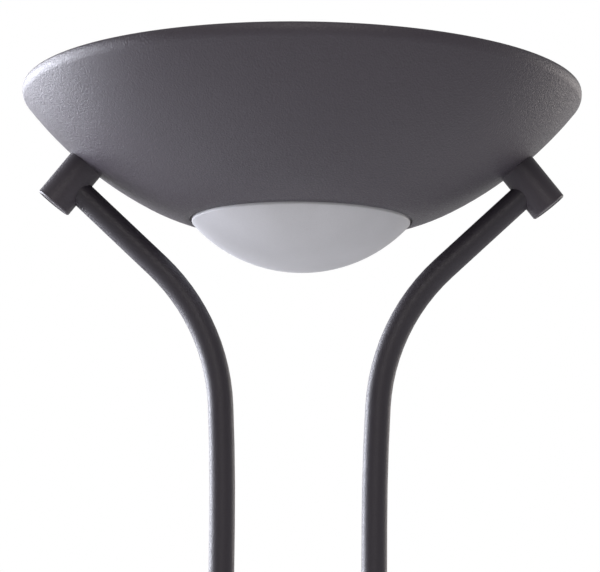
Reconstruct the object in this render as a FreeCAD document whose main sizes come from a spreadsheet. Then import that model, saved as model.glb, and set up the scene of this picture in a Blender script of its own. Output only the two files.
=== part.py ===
"""Torchiere floor lamp: a wide metal bowl on two parallel stems, with a weighted round base.

Millimetres. The origin is the middle of the base's underside, +Z is up, the two stems stand side by side
along X, and the front is -Y. A halogen tube lamp lies in the bowl, over a frosted glass dish that closes
the round opening in the bowl's bottom. A dimmer is clamped on both stems at hand height.
"""
import FreeCAD, Part
import math
import os
import Sketcher

SIZES = {
    # whole lamp
    "lamp_height": 1800,
    "stem_spacing": 80,
    "fit_gap": 0.15,
    "thread_gap": 0.05,
    "moving_gap": 0.3,
    "hole_end_room": 1.5,
    # bowl, from its opening up to the rolled rim; the angles are the slope of the outside
    "bowl_radius": 150,
    "bowl_opening_radius": 59.8,
    "bowl_wall": 1.2,
    "bowl_foot_angle": 14.7,
    "bowl_waist_angle": 28.1,
    "bowl_shoulder_angle": 51.1,
    "bowl_foot_bend": 117.7,
    "bowl_shoulder_bend": 6.8,
    "rim_roll_bend": 2,
    "rim_roll_start": 13.5,
    "rim_roll_end": 215,
    # stems
    "stem_diameter": 13.5,
    "stem_wall": 1.6,
    "stem_lean": 47,
    "stem_bend": 110,
    "stem_gentle_angle": 3,
    "stem_gentle_bend": 1200,
    "lower_joint_height": 580,
    "upper_joint_height": 1180,
    "coupler_length": 40,
    # spreaders that tie the stems at their joints
    "spreader_height": 18,
    "spreader_ring_wall": 3.8,
    "spreader_bar_thickness": 8,
    "spreader_screw_offset": 4.5,
    # bosses under the bowl
    "boss_tilt": 38.4,
    "boss_diameter": 20.3,
    "boss_length": 27.3,
    "boss_chamfer": 0.6,
    "boss_stem_distance": 12.9,
    "boss_stem_overrun": 5.2,
    "boss_cap_radius": 8,
    "boss_cap_thickness": 1.1,
    "boss_cap_inset": 0.3,
    "boss_screw_recess": 0.9,
    "boss_screw_diameter": 6,
    # hollow threaded studs that fit the stems' bore, their nuts and washers
    "stud_wall": 1.5,
    "stud_overhang": 0.6,
    "nut_across_flats": 14,
    "nut_thickness": 4,
    "washer_radius": 9.5,
    "washer_thickness": 1,
    "nipple_depth": 5.7,
    # frosted glass dish and its seal
    "glass_gap": 1.3,
    "glass_drop": 26.8,
    "glass_neck_drop": 0.9,
    "glass_wall": 4,
    "glass_flange_reach": 7.5,
    "glass_flange_thickness": 3.5,
    "gasket_edge": 1,
    "gasket_inset": 0.4,
    # strip across the bowl that carries the lamp
    "bridge_width": 26,
    "bridge_thickness": 1.5,
    "bridge_tab_inside": 12,
    "bridge_tab_outside": 11,
    "bridge_seat_gap": 0.1,
    "bridge_screw_spacing": 36,
    # spring yoke that holds the glass down
    "yoke_width": 16,
    "yoke_thickness": 1,
    "yoke_flat_half": 40,
    "yoke_foot_length": 8.5,
    "yoke_foot_inset": 1,
    "yoke_pad_thickness": 1,
    "yoke_pad_margin": 0.5,
    # reflector and its cover glass
    "reflector_end_gap": 5,
    "reflector_thickness": 0.8,
    "reflector_floor_half": 26,
    "reflector_mouth_half": 44,
    "reflector_lip": 5,
    "reflector_depth": 22,
    "light_hole_radius": 4,
    "light_hole_spacing": 12,
    "light_hole_start": 14.4,
    "light_hole_row": 19,
    "cover_glass_thickness": 3,
    "cover_glass_inset": 2,
    "cover_glass_corner": 3,
    "clip_thickness": 0.6,
    "clip_width": 20,
    "clip_over_reach": 7,
    "clip_under_reach": 3.5,
    # tube lamp and its holders
    "bulb_height": 14,
    "bulb_half_length": 57,
    "bulb_radius": 5.5,
    "bulb_wall": 1.2,
    "bulb_pinch_inset": 10,
    "bulb_shoulder_inset": 7,
    "bulb_pinch_radius": 2.2,
    "bulb_end_radius": 3.7,
    "bulb_end_length": 13,
    "holder_grip": 2,
    "holder_thickness": 20,
    "holder_width": 16,
    "holder_above_bulb": 8,
    "holder_foot_length": 12,
    "holder_foot_height": 6,
    "holder_wall": 2,
    "holder_socket_radius": 4.3,
    "holder_socket_depth": 3,
    "contact_radius": 2,
    "contact_collar_radius": 3,
    "contact_collar_thickness": 1.6,
    "contact_tail_radius": 1.2,
    "contact_tail_length": 4,
    "contact_gap": 0.1,
    "contact_travel": 2.5,
    # base
    "base_radius": 140,
    "base_height": 26,
    "base_wall": 1.2,
    "base_corner": 8,
    "skirt_lift": 3,
    "ballast_skirt_gap": 2.8,
    "plate_inset": 2,
    "pad_inset": 4,
    "pad_screw_gap": 15,
    "pad_thickness": 3.5,
    "plate_thickness": 1.5,
    "plate_screw_inset": 15,
    "plate_screw_grip": 8,
    "ballast_chamfer": 5,
    "recess_radius": 70,
    "recess_depth": 16,
    "channel_width": 16,
    "channel_depth": 14,
    "stud_reach": 35,
    "collar_wall": 5.1,
    "collar_height": 12,
    "collar_chamfer": 1.5,
    "grommet_rise": 8.5,
    "grommet_bore": 6.8,
    "grommet_neck_radius": 5.4,
    "grommet_flange_radius": 7,
    "grommet_lip": 2,
    "terminal_length": 34,
    "terminal_width": 17,
    "terminal_height": 11,
    "terminal_screw_radius": 1.8,
    "terminal_screw_depth": 2.5,
    # dimmer, clamped on both stems
    "dimmer_below_joint": 100,
    "dimmer_half_tall": 32,
    "dimmer_beyond_stems": 9,
    "dimmer_half_depth": 17,
    "dimmer_wall": 2,
    "dimmer_corner": 10,
    "dimmer_edge": 2.5,
    "post_from_stem": 9.25,
    "post_from_end": 7,
    "post_radius": 3.5,
    "post_screw_diameter": 3,
    "post_screw_length": 24,
    "control_width": 17,
    "control_depth": 9.5,
    "control_wall": 1.5,
    "control_bush_radius": 4.5,
    "control_bush_reach": 3,
    "control_nut_across": 12,
    "control_nut_thickness": 2,
    "shaft_radius": 3,
    "shaft_neck_radius": 2,
    "shaft_reach": 14,
    "slider_radius": 6.2,
    "slider_thickness": 2.4,
    "push_travel": 1.2,
    "knob_radius": 17,
    "knob_length": 15.2,
    "knob_taper": 0.6,
    "knob_chamfer": 1.2,
    "knob_lift": 1.8,
    "knob_hollow_radius": 10,
    "knob_hollow_depth": 4.7,
    "knob_screw_length": 8.5,
    "flute_radius": 0.9,
    "flute_length": 12,
    "pointer_start": 8,
    "pointer_width": 1.2,
    "pointer_depth": 0.6,
    "board_post_gap": 1.5,
    "board_end_gap": 4,
    "board_thickness": 1.6,
    "dimmer_terminal_depth": 9,
    "dimmer_terminal_width": 12,
    "dimmer_terminal_end_gap": 6,
    "dimmer_terminal_inset": 5,
    "component_column": 10,
    "choke_radius": 6,
    "choke_bore": 4.5,
    "choke_length": 8,
    "capacitor_width": 13,
    "capacitor_thickness": 6,
    "capacitor_length": 11,
    "triac_width": 10,
    "triac_thickness": 4.6,
    "triac_length": 15,
    # inner lead and the lamp's two wires
    "lead_diameter": 4.6,
    "lead_bend": 7.5,
    "lead_boss_bend": 6,
    "lead_floor_gap": 0.7,
    "lead_offset": 14,
    "lead_hole_radius": 4.5,
    "lead_tail": 1.5,
    "wire_diameter": 2.2,
    # small screws
    "small_screw_diameter": 3,
    "medium_screw_diameter": 4,
}
FLUTES = 24
PLATE_SCREWS = 3
LIGHT_HOLES_PER_SIDE = 3
SIDES = (("left", -1), ("right", 1))

doc = FreeCAD.newDocument("TorchiereLamp")
sheet = doc.addObject("Spreadsheet::Sheet", "Sizes")
for row, (alias, number) in enumerate(SIZES.items(), start=1):
    sheet.set(f"A{row}", alias)
    sheet.set(f"B{row}", str(number))
    sheet.setAlias(f"B{row}", alias)
doc.recompute()


# --- sizes that carry their sheet expression --------------------------------------------------------


class Measure:
    """A length or an angle: its value now, and the sheet expression that gives it."""

    def __init__(self, value, text):
        self.value = value
        self.text = text

    def __add__(self, other):
        other = measure(other)
        return Measure(self.value + other.value, f"({self.text} + {other.text})")

    def __sub__(self, other):
        other = measure(other)
        return Measure(self.value - other.value, f"({self.text} - {other.text})")

    def __mul__(self, other):
        other = measure(other)
        return Measure(self.value * other.value, f"({self.text} * {other.text})")

    def __truediv__(self, other):
        other = measure(other)
        return Measure(self.value / other.value, f"({self.text} / {other.text})")

    def __radd__(self, other):
        return measure(other) + self

    def __rsub__(self, other):
        return measure(other) - self

    def __rmul__(self, other):
        return measure(other) * self

    def __neg__(self):
        return self * -1


def measure(amount):
    """A plain number becomes a measure that follows no size."""
    if isinstance(amount, Measure):
        return amount
    return Measure(float(amount), f"({float(amount)})")


class SheetSizes:
    """size.bowl_wall reads that cell as a measure."""

    def __getattr__(self, alias):
        return Measure(sheet.get(alias), f"Sizes.{alias}")


size = SheetSizes()


def sine(angle):
    return Measure(math.sin(math.radians(angle.value)), f"sin({angle.text})")


def cosine(angle):
    return Measure(math.cos(math.radians(angle.value)), f"cos({angle.text})")


def tangent(angle):
    return Measure(math.tan(math.radians(angle.value)), f"tan({angle.text})")


def root(amount):
    return Measure(math.sqrt(amount.value), f"sqrt({amount.text})")


def half_turn_tangent(run, rise):
    """The tangent of half the angle at which a strip climbs, for the corners of its upper face."""
    slope_length = root(run * run + rise * rise)
    return (slope_length - run) / rise


# --- sketches and features --------------------------------------------------------------------------


def new_body(name):
    body = doc.addObject("PartDesign::Body", name)
    body.Label = name
    return body


def place(body, x=0, y=0, z=0, axis=None, angle=0):
    """Put a body at its place, turned by an angle about an axis through its own origin."""
    if axis is not None:
        turn = FreeCAD.Rotation(FreeCAD.Vector(*axis), measure(angle).value)
        body.Placement = FreeCAD.Placement(FreeCAD.Vector(), turn)
        body.setExpression("Placement.Rotation.Angle", measure(angle).text)
    body.setExpression("Placement.Base.x", measure(x).text)
    body.setExpression("Placement.Base.y", measure(y).text)
    body.setExpression("Placement.Base.z", measure(z).text)
    return body


def sketch_on(body, plane, offset=0):
    """A sketch on one of the body's own planes, moved along the plane's normal."""
    sketch = body.newObject("Sketcher::SketchObject", body.Name + "_sketch")
    support = next(item for item in body.Origin.OriginFeatures if item.Role == plane)
    sketch.AttachmentSupport = [(support, "")]
    sketch.MapMode = "FlatFace"
    sketch.setExpression("AttachmentOffset.Base.z", measure(offset).text)
    return sketch


def arc_between(start, end, radius, turn):
    """The short arc from start to end that turns left (1) or right (-1)."""
    chord = end - start
    rise = math.sqrt(max(radius ** 2 - (chord.Length / 2) ** 2, 0))
    normal = FreeCAD.Vector(-chord.y, chord.x, 0).normalize()
    centre = start + chord * 0.5 + normal * rise * turn
    circle = Part.Circle(centre, FreeCAD.Vector(0, 0, 1), radius)
    first, last = (start, end) if turn > 0 else (end, start)
    angles = [math.atan2(point.y - centre.y, point.x - centre.x) for point in (first, last)]
    return Part.ArcOfCircle(circle, angles[0], angles[1])


def constrain(sketch, rules):
    """Add constraints, each a tuple of its kind, what it holds and its measure or None."""
    first = sketch.ConstraintCount
    plain = []
    for kind, held, amount in rules:
        numbers = [] if amount is None else [amount.value]
        plain.append(Sketcher.Constraint(kind, *held, *numbers))
    sketch.addConstraint(plain)
    for index, (kind, held, amount) in enumerate(rules, start=first):
        if amount is not None and "Sizes" in amount.text:
            sketch.setExpression(f"Constraints[{index}]", amount.text)


def draw(sketch, points, closed=True):
    """Draw a run of edges through the points. A point is (x, y), or (x, y, radius, turn) where the edge
    that leaves it is an arc that turns left (1) or right (-1)."""
    first = sketch.GeometryCount
    corners = [(measure(point[0]), measure(point[1])) for point in points]
    places = [FreeCAD.Vector(x.value, y.value, 0) for x, y in corners]
    edges = len(points) if closed else len(points) - 1
    shapes = []
    ends = []
    rules = []
    for index in range(edges):
        start, end = places[index], places[(index + 1) % len(points)]
        if len(points[index]) == 2:
            shapes.append(Part.LineSegment(start, end))
            ends.append((1, 2))
        else:
            radius, turn = measure(points[index][2]), points[index][3]
            shapes.append(arc_between(start, end, radius.value, turn))
            ends.append((1, 2) if turn > 0 else (2, 1))
            rules.append(("Radius", (first + index,), radius))
    sketch.addGeometry(shapes, False)
    for index in range(edges):
        follower = (index + 1) % len(points)
        if follower < edges:
            joined = (first + index, ends[index][1], first + follower, ends[follower][0])
            rules.append(("Coincident", joined, None))
        rules.append(("DistanceX", (first + index, ends[index][0]), corners[index][0]))
        rules.append(("DistanceY", (first + index, ends[index][0]), corners[index][1]))
    if not closed:
        rules.append(("DistanceX", (first + edges - 1, ends[-1][1]), corners[-1][0]))
        rules.append(("DistanceY", (first + edges - 1, ends[-1][1]), corners[-1][1]))
    constrain(sketch, rules)
    return sketch


def draw_circles(sketch, circles):
    """Draw circles, each (x, y, radius)."""
    first = sketch.GeometryCount
    circles = [tuple(measure(amount) for amount in circle) for circle in circles]
    up = FreeCAD.Vector(0, 0, 1)
    sketch.addGeometry([Part.Circle(FreeCAD.Vector(x.value, y.value, 0), up, radius.value)
                        for x, y, radius in circles], False)
    rules = []
    for index, (x, y, radius) in enumerate(circles, start=first):
        rules.append(("DistanceX", (index, 3), x))
        rules.append(("DistanceY", (index, 3), y))
        rules.append(("Radius", (index,), radius))
    constrain(sketch, rules)
    return sketch


def settle(body, feature, removes=False, earlier=None):
    """Build a new feature, and stop if it has failed or has changed the body the wrong way."""
    earlier = earlier or feature.BaseFeature
    before = 0 if earlier is None else earlier.Shape.Volume
    doc.recompute()
    change = feature.Shape.Volume - before
    if "Invalid" in feature.State or (change >= 0 if removes else change <= 0):
        raise ValueError(f"{body.Label}: {feature.Name} is {feature.State}, volume change {change:.3f}")
    return feature


def spin(body, points, axis=None, removes=False):
    """Turn an outline in the XZ plane about the Z axis, or about the line between two points."""
    sketch = draw(sketch_on(body, "XZ_Plane"), points)
    axis_name = "V_Axis"
    if axis is not None:
        axis_name = "Axis0"
        first = sketch.GeometryCount
        ends = [(measure(x), measure(z)) for x, z in axis]
        line = Part.LineSegment(*[FreeCAD.Vector(x.value, z.value, 0) for x, z in ends])
        sketch.addGeometry(line, True)
        rules = []
        for end, (x, z) in enumerate(ends, start=1):
            rules.append(("DistanceX", (first, end), x))
            rules.append(("DistanceY", (first, end), z))
        constrain(sketch, rules)
    kind = "Groove" if removes else "Revolution"
    feature = body.newObject("PartDesign::" + kind, body.Name + "_" + kind.lower())
    feature.Profile = sketch
    feature.ReferenceAxis = (sketch, [axis_name])
    feature.Angle = 360
    return settle(body, feature, removes)


def turned(name, points, axis=None):
    """A new turned piece."""
    body = new_body(name)
    spin(body, points, axis)
    return body


def extrude(body, sketch, length, both_ways=False, backwards=False, removes=False):
    """A pad goes along the sketch's normal and a pocket against it, unless backwards turns it round."""
    kind = "Pocket" if removes else "Pad"
    feature = body.newObject("PartDesign::" + kind, body.Name + "_" + kind.lower())
    feature.Profile = sketch
    feature.Length = measure(length).value
    feature.setExpression("Length", measure(length).text)
    feature.SideType = "Symmetric" if both_ways else "One side"
    feature.Reversed = backwards
    return settle(body, feature, removes)


def drill(body, plane, offset, circles, depth, backwards=False):
    """Round holes from a plane into the body."""
    sketch = draw_circles(sketch_on(body, plane, offset), circles)
    return extrude(body, sketch, depth, backwards=backwards, removes=True)


def ring(name, inner_radius, outer_radius, bottom, top):
    """A plain tube, washer or pad on the Z axis."""
    return turned(name, [
        (inner_radius, bottom), (outer_radius, bottom), (outer_radius, top), (inner_radius, top)])


def rectangle(x_low, x_high, y_low, y_high):
    return [(x_low, y_low), (x_high, y_low), (x_high, y_high), (x_low, y_high)]


def block(name, outline, bottom, height):
    """A plain upright block."""
    body = new_body(name)
    extrude(body, draw(sketch_on(body, "XY_Plane", bottom), outline), height)
    return body


def rounded_rectangle(half_x, half_y, corner):
    flat_x = half_x - corner
    flat_y = half_y - corner
    return [
        (-flat_x, -half_y), (flat_x, -half_y, corner, 1),
        (half_x, -flat_y), (half_x, flat_y, corner, 1),
        (flat_x, half_y), (-flat_x, half_y, corner, 1),
        (-half_x, flat_y), (-half_x, -flat_y, corner, 1)]


def hexagon(across_flats):
    corner = across_flats / math.sqrt(3)
    return [(corner * math.cos(math.radians(60 * step)), corner * math.sin(math.radians(60 * step)))
            for step in range(6)]


def hex_nut(name, across_flats, thickness, bore_radius):
    """A nut that stands on its own XY plane."""
    body = block(name, hexagon(across_flats), 0, thickness)
    drill(body, "XY_Plane", thickness, [(0, 0, bore_radius)], thickness)
    return body


def socket_screw(name, diameter, length):
    """A round-headed screw, its head above its own XY plane and its shank below."""
    radius = diameter / 2
    head_radius = diameter * 0.95
    head_height = diameter * 0.6
    edge = diameter * 0.15
    body = turned(name, [
        (0, -length), (radius, -length), (radius, 0), (head_radius, 0),
        (head_radius, head_height - edge), (head_radius - edge, head_height), (0, head_height)])
    socket = draw(sketch_on(body, "XY_Plane", head_height), hexagon(diameter * 0.6))
    extrude(body, socket, diameter * 0.4, removes=True)
    return body


def set_screw(name, diameter, length):
    """A headless screw that lies along its own +Z axis, its socket in the upper end."""
    body = turned(name, [(0, 0), (diameter / 2, 0), (diameter / 2, length), (0, length)])
    socket = draw(sketch_on(body, "XY_Plane", length), hexagon(diameter * 0.5))
    extrude(body, socket, length * 0.5, removes=True)
    return body


def group(name, bodies):
    """Like pieces that share one node, each a solid of its own."""
    compound = doc.addObject("Part::Compound", name)
    compound.Label = name
    compound.Links = bodies
    return compound


# --- places that several pieces share ---------------------------------------------------------------

half_spacing = size.stem_spacing / 2
stem_radius = size.stem_diameter / 2
stem_bore_radius = stem_radius - size.stem_wall
stud_radius = stem_bore_radius - size.fit_gap
stud_bore_radius = stud_radius - size.stud_wall
thread_hole_radius = stud_radius + size.fit_gap

foot_angle = size.bowl_foot_angle
waist_angle = size.bowl_waist_angle
shoulder_angle = size.bowl_shoulder_angle
foot_bend = size.bowl_foot_bend
shoulder_bend = size.bowl_shoulder_bend
side_span = size.bowl_radius - size.bowl_opening_radius
side_bend = ((side_span - shoulder_bend * (1 - sine(shoulder_angle))
              - foot_bend * (sine(waist_angle) - sine(foot_angle)))
             / (sine(shoulder_angle) - sine(waist_angle)))
foot_centre = (size.bowl_opening_radius - foot_bend * sine(foot_angle), foot_bend * cosine(foot_angle))
waist = (foot_centre[0] + foot_bend * sine(waist_angle), foot_centre[1] - foot_bend * cosine(waist_angle))
side_centre = (waist[0] - side_bend * sine(waist_angle), waist[1] + side_bend * cosine(waist_angle))
shoulder_start_height = side_centre[1] - side_bend * cosine(shoulder_angle)
shoulder_centre = (size.bowl_radius - shoulder_bend,
                   shoulder_start_height + shoulder_bend * cosine(shoulder_angle))
roll_offset = shoulder_bend - size.rim_roll_bend
roll_centre = (shoulder_centre[0] + roll_offset * cosine(size.rim_roll_start),
               shoulder_centre[1] + roll_offset * sine(size.rim_roll_start))
bowl_height = roll_centre[1] + size.rim_roll_bend
opening_height = size.lamp_height - bowl_height


def on_circle(centre, radius, angle):
    """The point at an angle from the X axis on a circle in the XZ plane."""
    return (centre[0] + radius * cosine(angle), centre[1] + radius * sine(angle))


def on_slope(centre, radius, slope):
    """The point of a bowl arc where the wall climbs at a slope."""
    return (centre[0] + radius * sine(slope), centre[1] - radius * cosine(slope))


def bowl_floor(radius):
    """The height of the bowl's inside near its opening."""
    inner_bend = foot_bend - size.bowl_wall
    reach = radius - foot_centre[0]
    return foot_centre[1] - root(inner_bend * inner_bend - reach * reach)


boss_foot = on_slope(side_centre, side_bend, size.boss_tilt)


def along_boss(side, distance, across):
    """A point at a distance from the bowl's outside along a boss's axis, and across the axis outwards."""
    tilt = size.boss_tilt
    x = boss_foot[0] + distance * sine(tilt) + across * cosine(tilt)
    z = boss_foot[1] - distance * cosine(tilt) + across * sine(tilt)
    return (side * x, z)


def turn_on_boss(body, side, points, removes=False):
    """Turn an outline of (distance, across) points about a boss's axis."""
    axis = [along_boss(side, 0, 0), along_boss(side, size.boss_length, 0)]
    return spin(body, [along_boss(side, *point) for point in points], axis, removes)


def place_on_boss(body, side, distance):
    """Stand a body on a boss's axis, its +Z pointing into the bowl."""
    x, z = along_boss(side, distance, 0)
    return place(body, x, 0, opening_height + z, (0, 1, 0), size.boss_tilt * -side)


joint = along_boss(1, size.boss_stem_distance, 0)


def along_stem_end(side, distance, across):
    """A point at a distance down the leaning end of a stem from its crossing with the boss's axis."""
    lean = size.stem_lean
    x = joint[0] - distance * sine(lean) + across * cosine(lean)
    z = joint[1] - distance * cosine(lean) - across * sine(lean)
    return (side * x, z)


# the bridge strip lies this far above the bowl's inside, so that its tab's corners just clear it
bridge_lift = (size.bridge_tab_inside * size.bridge_tab_inside / (side_bend * 2)
               + size.bridge_width * size.bridge_width / 8 * sine(size.boss_tilt) / boss_foot[0]
               + size.bridge_seat_gap)
tab_underside = -(size.bowl_wall + bridge_lift)
tab_top = tab_underside - size.bridge_thickness
washer_top = tab_top - size.washer_thickness
nut_top = washer_top - size.nut_thickness
nipple_top = nut_top - size.stud_overhang
bridge_bend = along_boss(1, tab_underside, -size.bridge_tab_inside)
bridge_top = bridge_bend[1] + size.bridge_thickness
bulb_axis = bridge_top + size.bulb_height
bulb_pinch_half = size.bulb_half_length - size.bulb_pinch_inset
bulb_shoulder_half = bulb_pinch_half - size.bulb_shoulder_inset
holder_inner_face = size.bulb_half_length - size.holder_grip
holder_outer_face = holder_inner_face + size.holder_thickness
holder_screw_place = holder_outer_face + size.holder_foot_length / 2
reflector_half_length = holder_inner_face - size.reflector_end_gap
neck_radius = size.bowl_opening_radius - size.glass_gap
flange_radius = neck_radius + size.glass_flange_reach
gasket_inner = size.bowl_opening_radius + size.gasket_inset
gasket_outer = flange_radius + size.gasket_inset
gasket_top = bowl_floor(gasket_outer) + size.gasket_edge
glass_flange_top = gasket_top + size.glass_flange_thickness
cover_glass_bottom = bridge_top + size.reflector_depth + size.reflector_thickness

ballast_radius = size.base_radius - size.base_wall - size.ballast_skirt_gap
plate_radius = ballast_radius - size.plate_inset
pad_radius = plate_radius - size.pad_inset
plate_screw_circle = size.recess_radius + size.plate_screw_inset
ballast_bottom = size.pad_thickness + size.plate_thickness
recess_ceiling = ballast_bottom + size.recess_depth
base_nut_bottom = recess_ceiling - size.washer_thickness - size.nut_thickness
base_stud_bottom = base_nut_bottom - size.stud_overhang
grommet_height = size.skirt_lift + size.grommet_rise
lead_radius = size.lead_diameter / 2
lead_floor = ballast_bottom + lead_radius + size.lead_floor_gap

dimmer_level = size.upper_joint_height - size.dimmer_below_joint

# along the dimmer's own axis, which points to the front from the plane between its two shells
shell_inside = size.dimmer_half_depth - size.dimmer_wall
control_back = shell_inside - size.control_depth
board_back = control_back - size.board_thickness
bush_end = size.dimmer_half_depth + size.control_bush_reach
cavity_top = shell_inside - size.control_wall
cavity_floor = control_back + size.control_wall
slider_top = cavity_top - size.moving_gap
knob_bottom = size.dimmer_half_depth + size.knob_lift
knob_top = knob_bottom + size.knob_length
shaft_end = size.dimmer_half_depth + size.shaft_reach


# --- base -------------------------------------------------------------------------------------------


def make_base_pad():
    """Soft ring that the lamp stands on."""
    return ring("base_pad", plate_screw_circle + size.pad_screw_gap, pad_radius, 0, size.pad_thickness)


def plate_screw_places():
    angles = [360 / PLATE_SCREWS * step + 30 for step in range(PLATE_SCREWS)]
    return [(plate_screw_circle * math.cos(math.radians(angle)),
             plate_screw_circle * math.sin(math.radians(angle))) for angle in angles]


def make_bottom_plate():
    """Sheet disc that closes the wiring recess from below."""
    body = ring("bottom_plate", 0, plate_radius, size.pad_thickness, ballast_bottom)
    hole = size.medium_screw_diameter / 2 + size.fit_gap
    drill(body, "XY_Plane", ballast_bottom, [(x, y, hole) for x, y in plate_screw_places()],
          size.plate_thickness)
    return body


def make_plate_screws():
    screws = []
    for x, y in plate_screw_places():
        screw = socket_screw("plate_screw", size.medium_screw_diameter,
                             size.plate_thickness + size.plate_screw_grip)
        screws.append(place(screw, x, y, size.pad_thickness, (1, 0, 0), 180))
    return group("plate_screws", screws)


def make_ballast_plate():
    """Cast iron disc with a wiring recess underneath and a channel from it to the cord inlet."""
    top = size.base_height - size.base_wall
    edge = ballast_radius
    body = turned("ballast_plate", [
        (0, recess_ceiling), (size.recess_radius, recess_ceiling), (size.recess_radius, ballast_bottom),
        (edge, ballast_bottom), (edge, top - size.ballast_chamfer), (edge - size.ballast_chamfer, top),
        (0, top)])
    half_channel = size.channel_width / 2
    channel = draw(sketch_on(body, "XY_Plane", ballast_bottom),
                   rectangle(-half_channel, half_channel, 0, size.base_radius))
    extrude(body, channel, size.channel_depth, backwards=True, removes=True)
    drill(body, "XY_Plane", top, [(side * half_spacing, 0, thread_hole_radius) for word, side in SIDES],
          top - recess_ceiling)
    pilot = size.medium_screw_diameter / 2 + size.thread_gap
    drill(body, "XY_Plane", ballast_bottom, [(x, y, pilot) for x, y in plate_screw_places()],
          size.plate_screw_grip + size.hole_end_room, backwards=True)
    return body


def make_base_cover():
    """Spun steel shell over the ballast, with the cord hole at the back of its skirt."""
    outer = size.base_radius
    inner = outer - size.base_wall
    flat = outer - size.base_corner
    top = size.base_height
    inside_top = top - size.base_wall
    corner_height = top - size.base_corner
    body = turned("base_cover", [
        (outer, size.skirt_lift), (outer, corner_height, size.base_corner, 1), (flat, top), (0, top),
        (0, inside_top), (flat, inside_top, size.base_corner - size.base_wall, -1),
        (inner, corner_height), (inner, size.skirt_lift)])
    drill(body, "XY_Plane", top, [(side * half_spacing, 0, thread_hole_radius) for word, side in SIDES],
          size.base_wall)
    hole = size.grommet_neck_radius + size.fit_gap
    drill(body, "XZ_Plane", 0, [(0, grommet_height, hole)], outer)
    return body


def make_cord_grommet():
    """Rubber bush in the skirt, where the mains cord enters."""
    bore = size.grommet_bore / 2
    neck = size.grommet_neck_radius
    flange = size.grommet_flange_radius
    # the skirt is round, so the flanges stand clear of it by its sagitta over their width
    sagitta = flange * flange / (size.base_radius * 2)
    outside = size.base_radius + size.thread_gap
    inside = size.base_radius - size.base_wall - sagitta - size.thread_gap
    lip = size.grommet_lip
    body = turned("cord_grommet", [
        (bore, inside - lip), (flange, inside - lip), (flange, inside), (neck, inside), (neck, outside),
        (flange, outside), (flange, outside + lip / 2), (flange - lip / 2, outside + lip),
        (bore, outside + lip)])
    return place(body, 0, 0, grommet_height, (1, 0, 0), -90)


def make_base_hardware():
    """Hollow studs that clamp cover and ballast to the stems, with a washer and a thin nut each."""
    studs, washers, nuts = [], [], []
    top = size.base_height + size.stud_reach
    for word, side in SIDES:
        x = side * half_spacing
        studs.append(place(ring("base_stud", stud_bore_radius, stud_radius, base_stud_bottom, top), x))
        washers.append(place(ring("base_washer", thread_hole_radius, size.washer_radius,
                                  recess_ceiling - size.washer_thickness, recess_ceiling), x))
        nut = hex_nut("base_nut", size.nut_across_flats, size.nut_thickness, stud_radius + size.thread_gap)
        nuts.append(place(nut, x, 0, base_nut_bottom))
    return [group("base_studs", studs), group("base_washers", washers), group("base_nuts", nuts)]


def make_base_collars():
    """Turned trim rings where the stems meet the base."""
    inner = stem_radius + size.fit_gap
    outer = stem_radius + size.collar_wall
    bottom = size.base_height
    top = bottom + size.collar_height
    edge = size.collar_chamfer
    collars = []
    for word, side in SIDES:
        body = turned("base_collar", [
            (inner, bottom), (outer, bottom), (outer, top - edge), (outer - edge, top), (inner, top)])
        collars.append(place(body, side * half_spacing))
    return group("base_collars", collars)


def make_terminal_block():
    """Screw terminals in the base, where the mains cord meets the inner lead."""
    half_length = size.terminal_length / 2
    half_width = size.terminal_width / 2
    body = block("terminal_block", rectangle(-half_length, half_length, -half_width, half_width),
                 ballast_bottom, size.terminal_height)
    step = size.terminal_length / 3
    wells = [(step * along, half_width / 2 * across, size.terminal_screw_radius)
             for along in (-1, 0, 1) for across in (-1, 1)]
    drill(body, "XY_Plane", ballast_bottom + size.terminal_height, wells, size.terminal_screw_depth)
    return body


# --- stems ------------------------------------------------------------------------------------------


def make_lower_stem(word, side):
    return place(ring("stem_lower_" + word, stem_bore_radius, stem_radius, size.base_height,
                      size.lower_joint_height), side * half_spacing)


def make_middle_stem(word, side):
    """Straight tube; the right one has two holes where the lead goes out to the dimmer and back."""
    body = ring("stem_middle_" + word, stem_bore_radius, stem_radius, size.lower_joint_height,
                size.upper_joint_height)
    if side > 0:
        edge_offset = size.lead_offset - (size.lead_bend - stem_bore_radius) / 2
        holes = [(0, dimmer_level + up * edge_offset, size.lead_hole_radius) for up in (-1, 1)]
        drill(body, "YZ_Plane", 0, holes, stem_radius)
    return place(body, side * half_spacing)


def stem_turns():
    """The upper stem's centreline on the right: its gentle bend's two ends and its main bend's end."""
    gentle = size.stem_gentle_angle
    lean = size.stem_lean
    bend_width = size.stem_bend * (cosine(gentle) - cosine(lean))
    gentle_width = size.stem_gentle_bend * (1 - cosine(gentle))
    straight = (joint[0] - half_spacing - bend_width - gentle_width) / sine(lean)
    bend_top = along_stem_end(1, straight, 0)
    bend_bottom = (bend_top[0] - bend_width, bend_top[1] - size.stem_bend * (sine(lean) - sine(gentle)))
    gentle_bottom = (half_spacing, bend_bottom[1] - size.stem_gentle_bend * sine(gentle))
    return gentle_bottom, bend_bottom, bend_top


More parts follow.
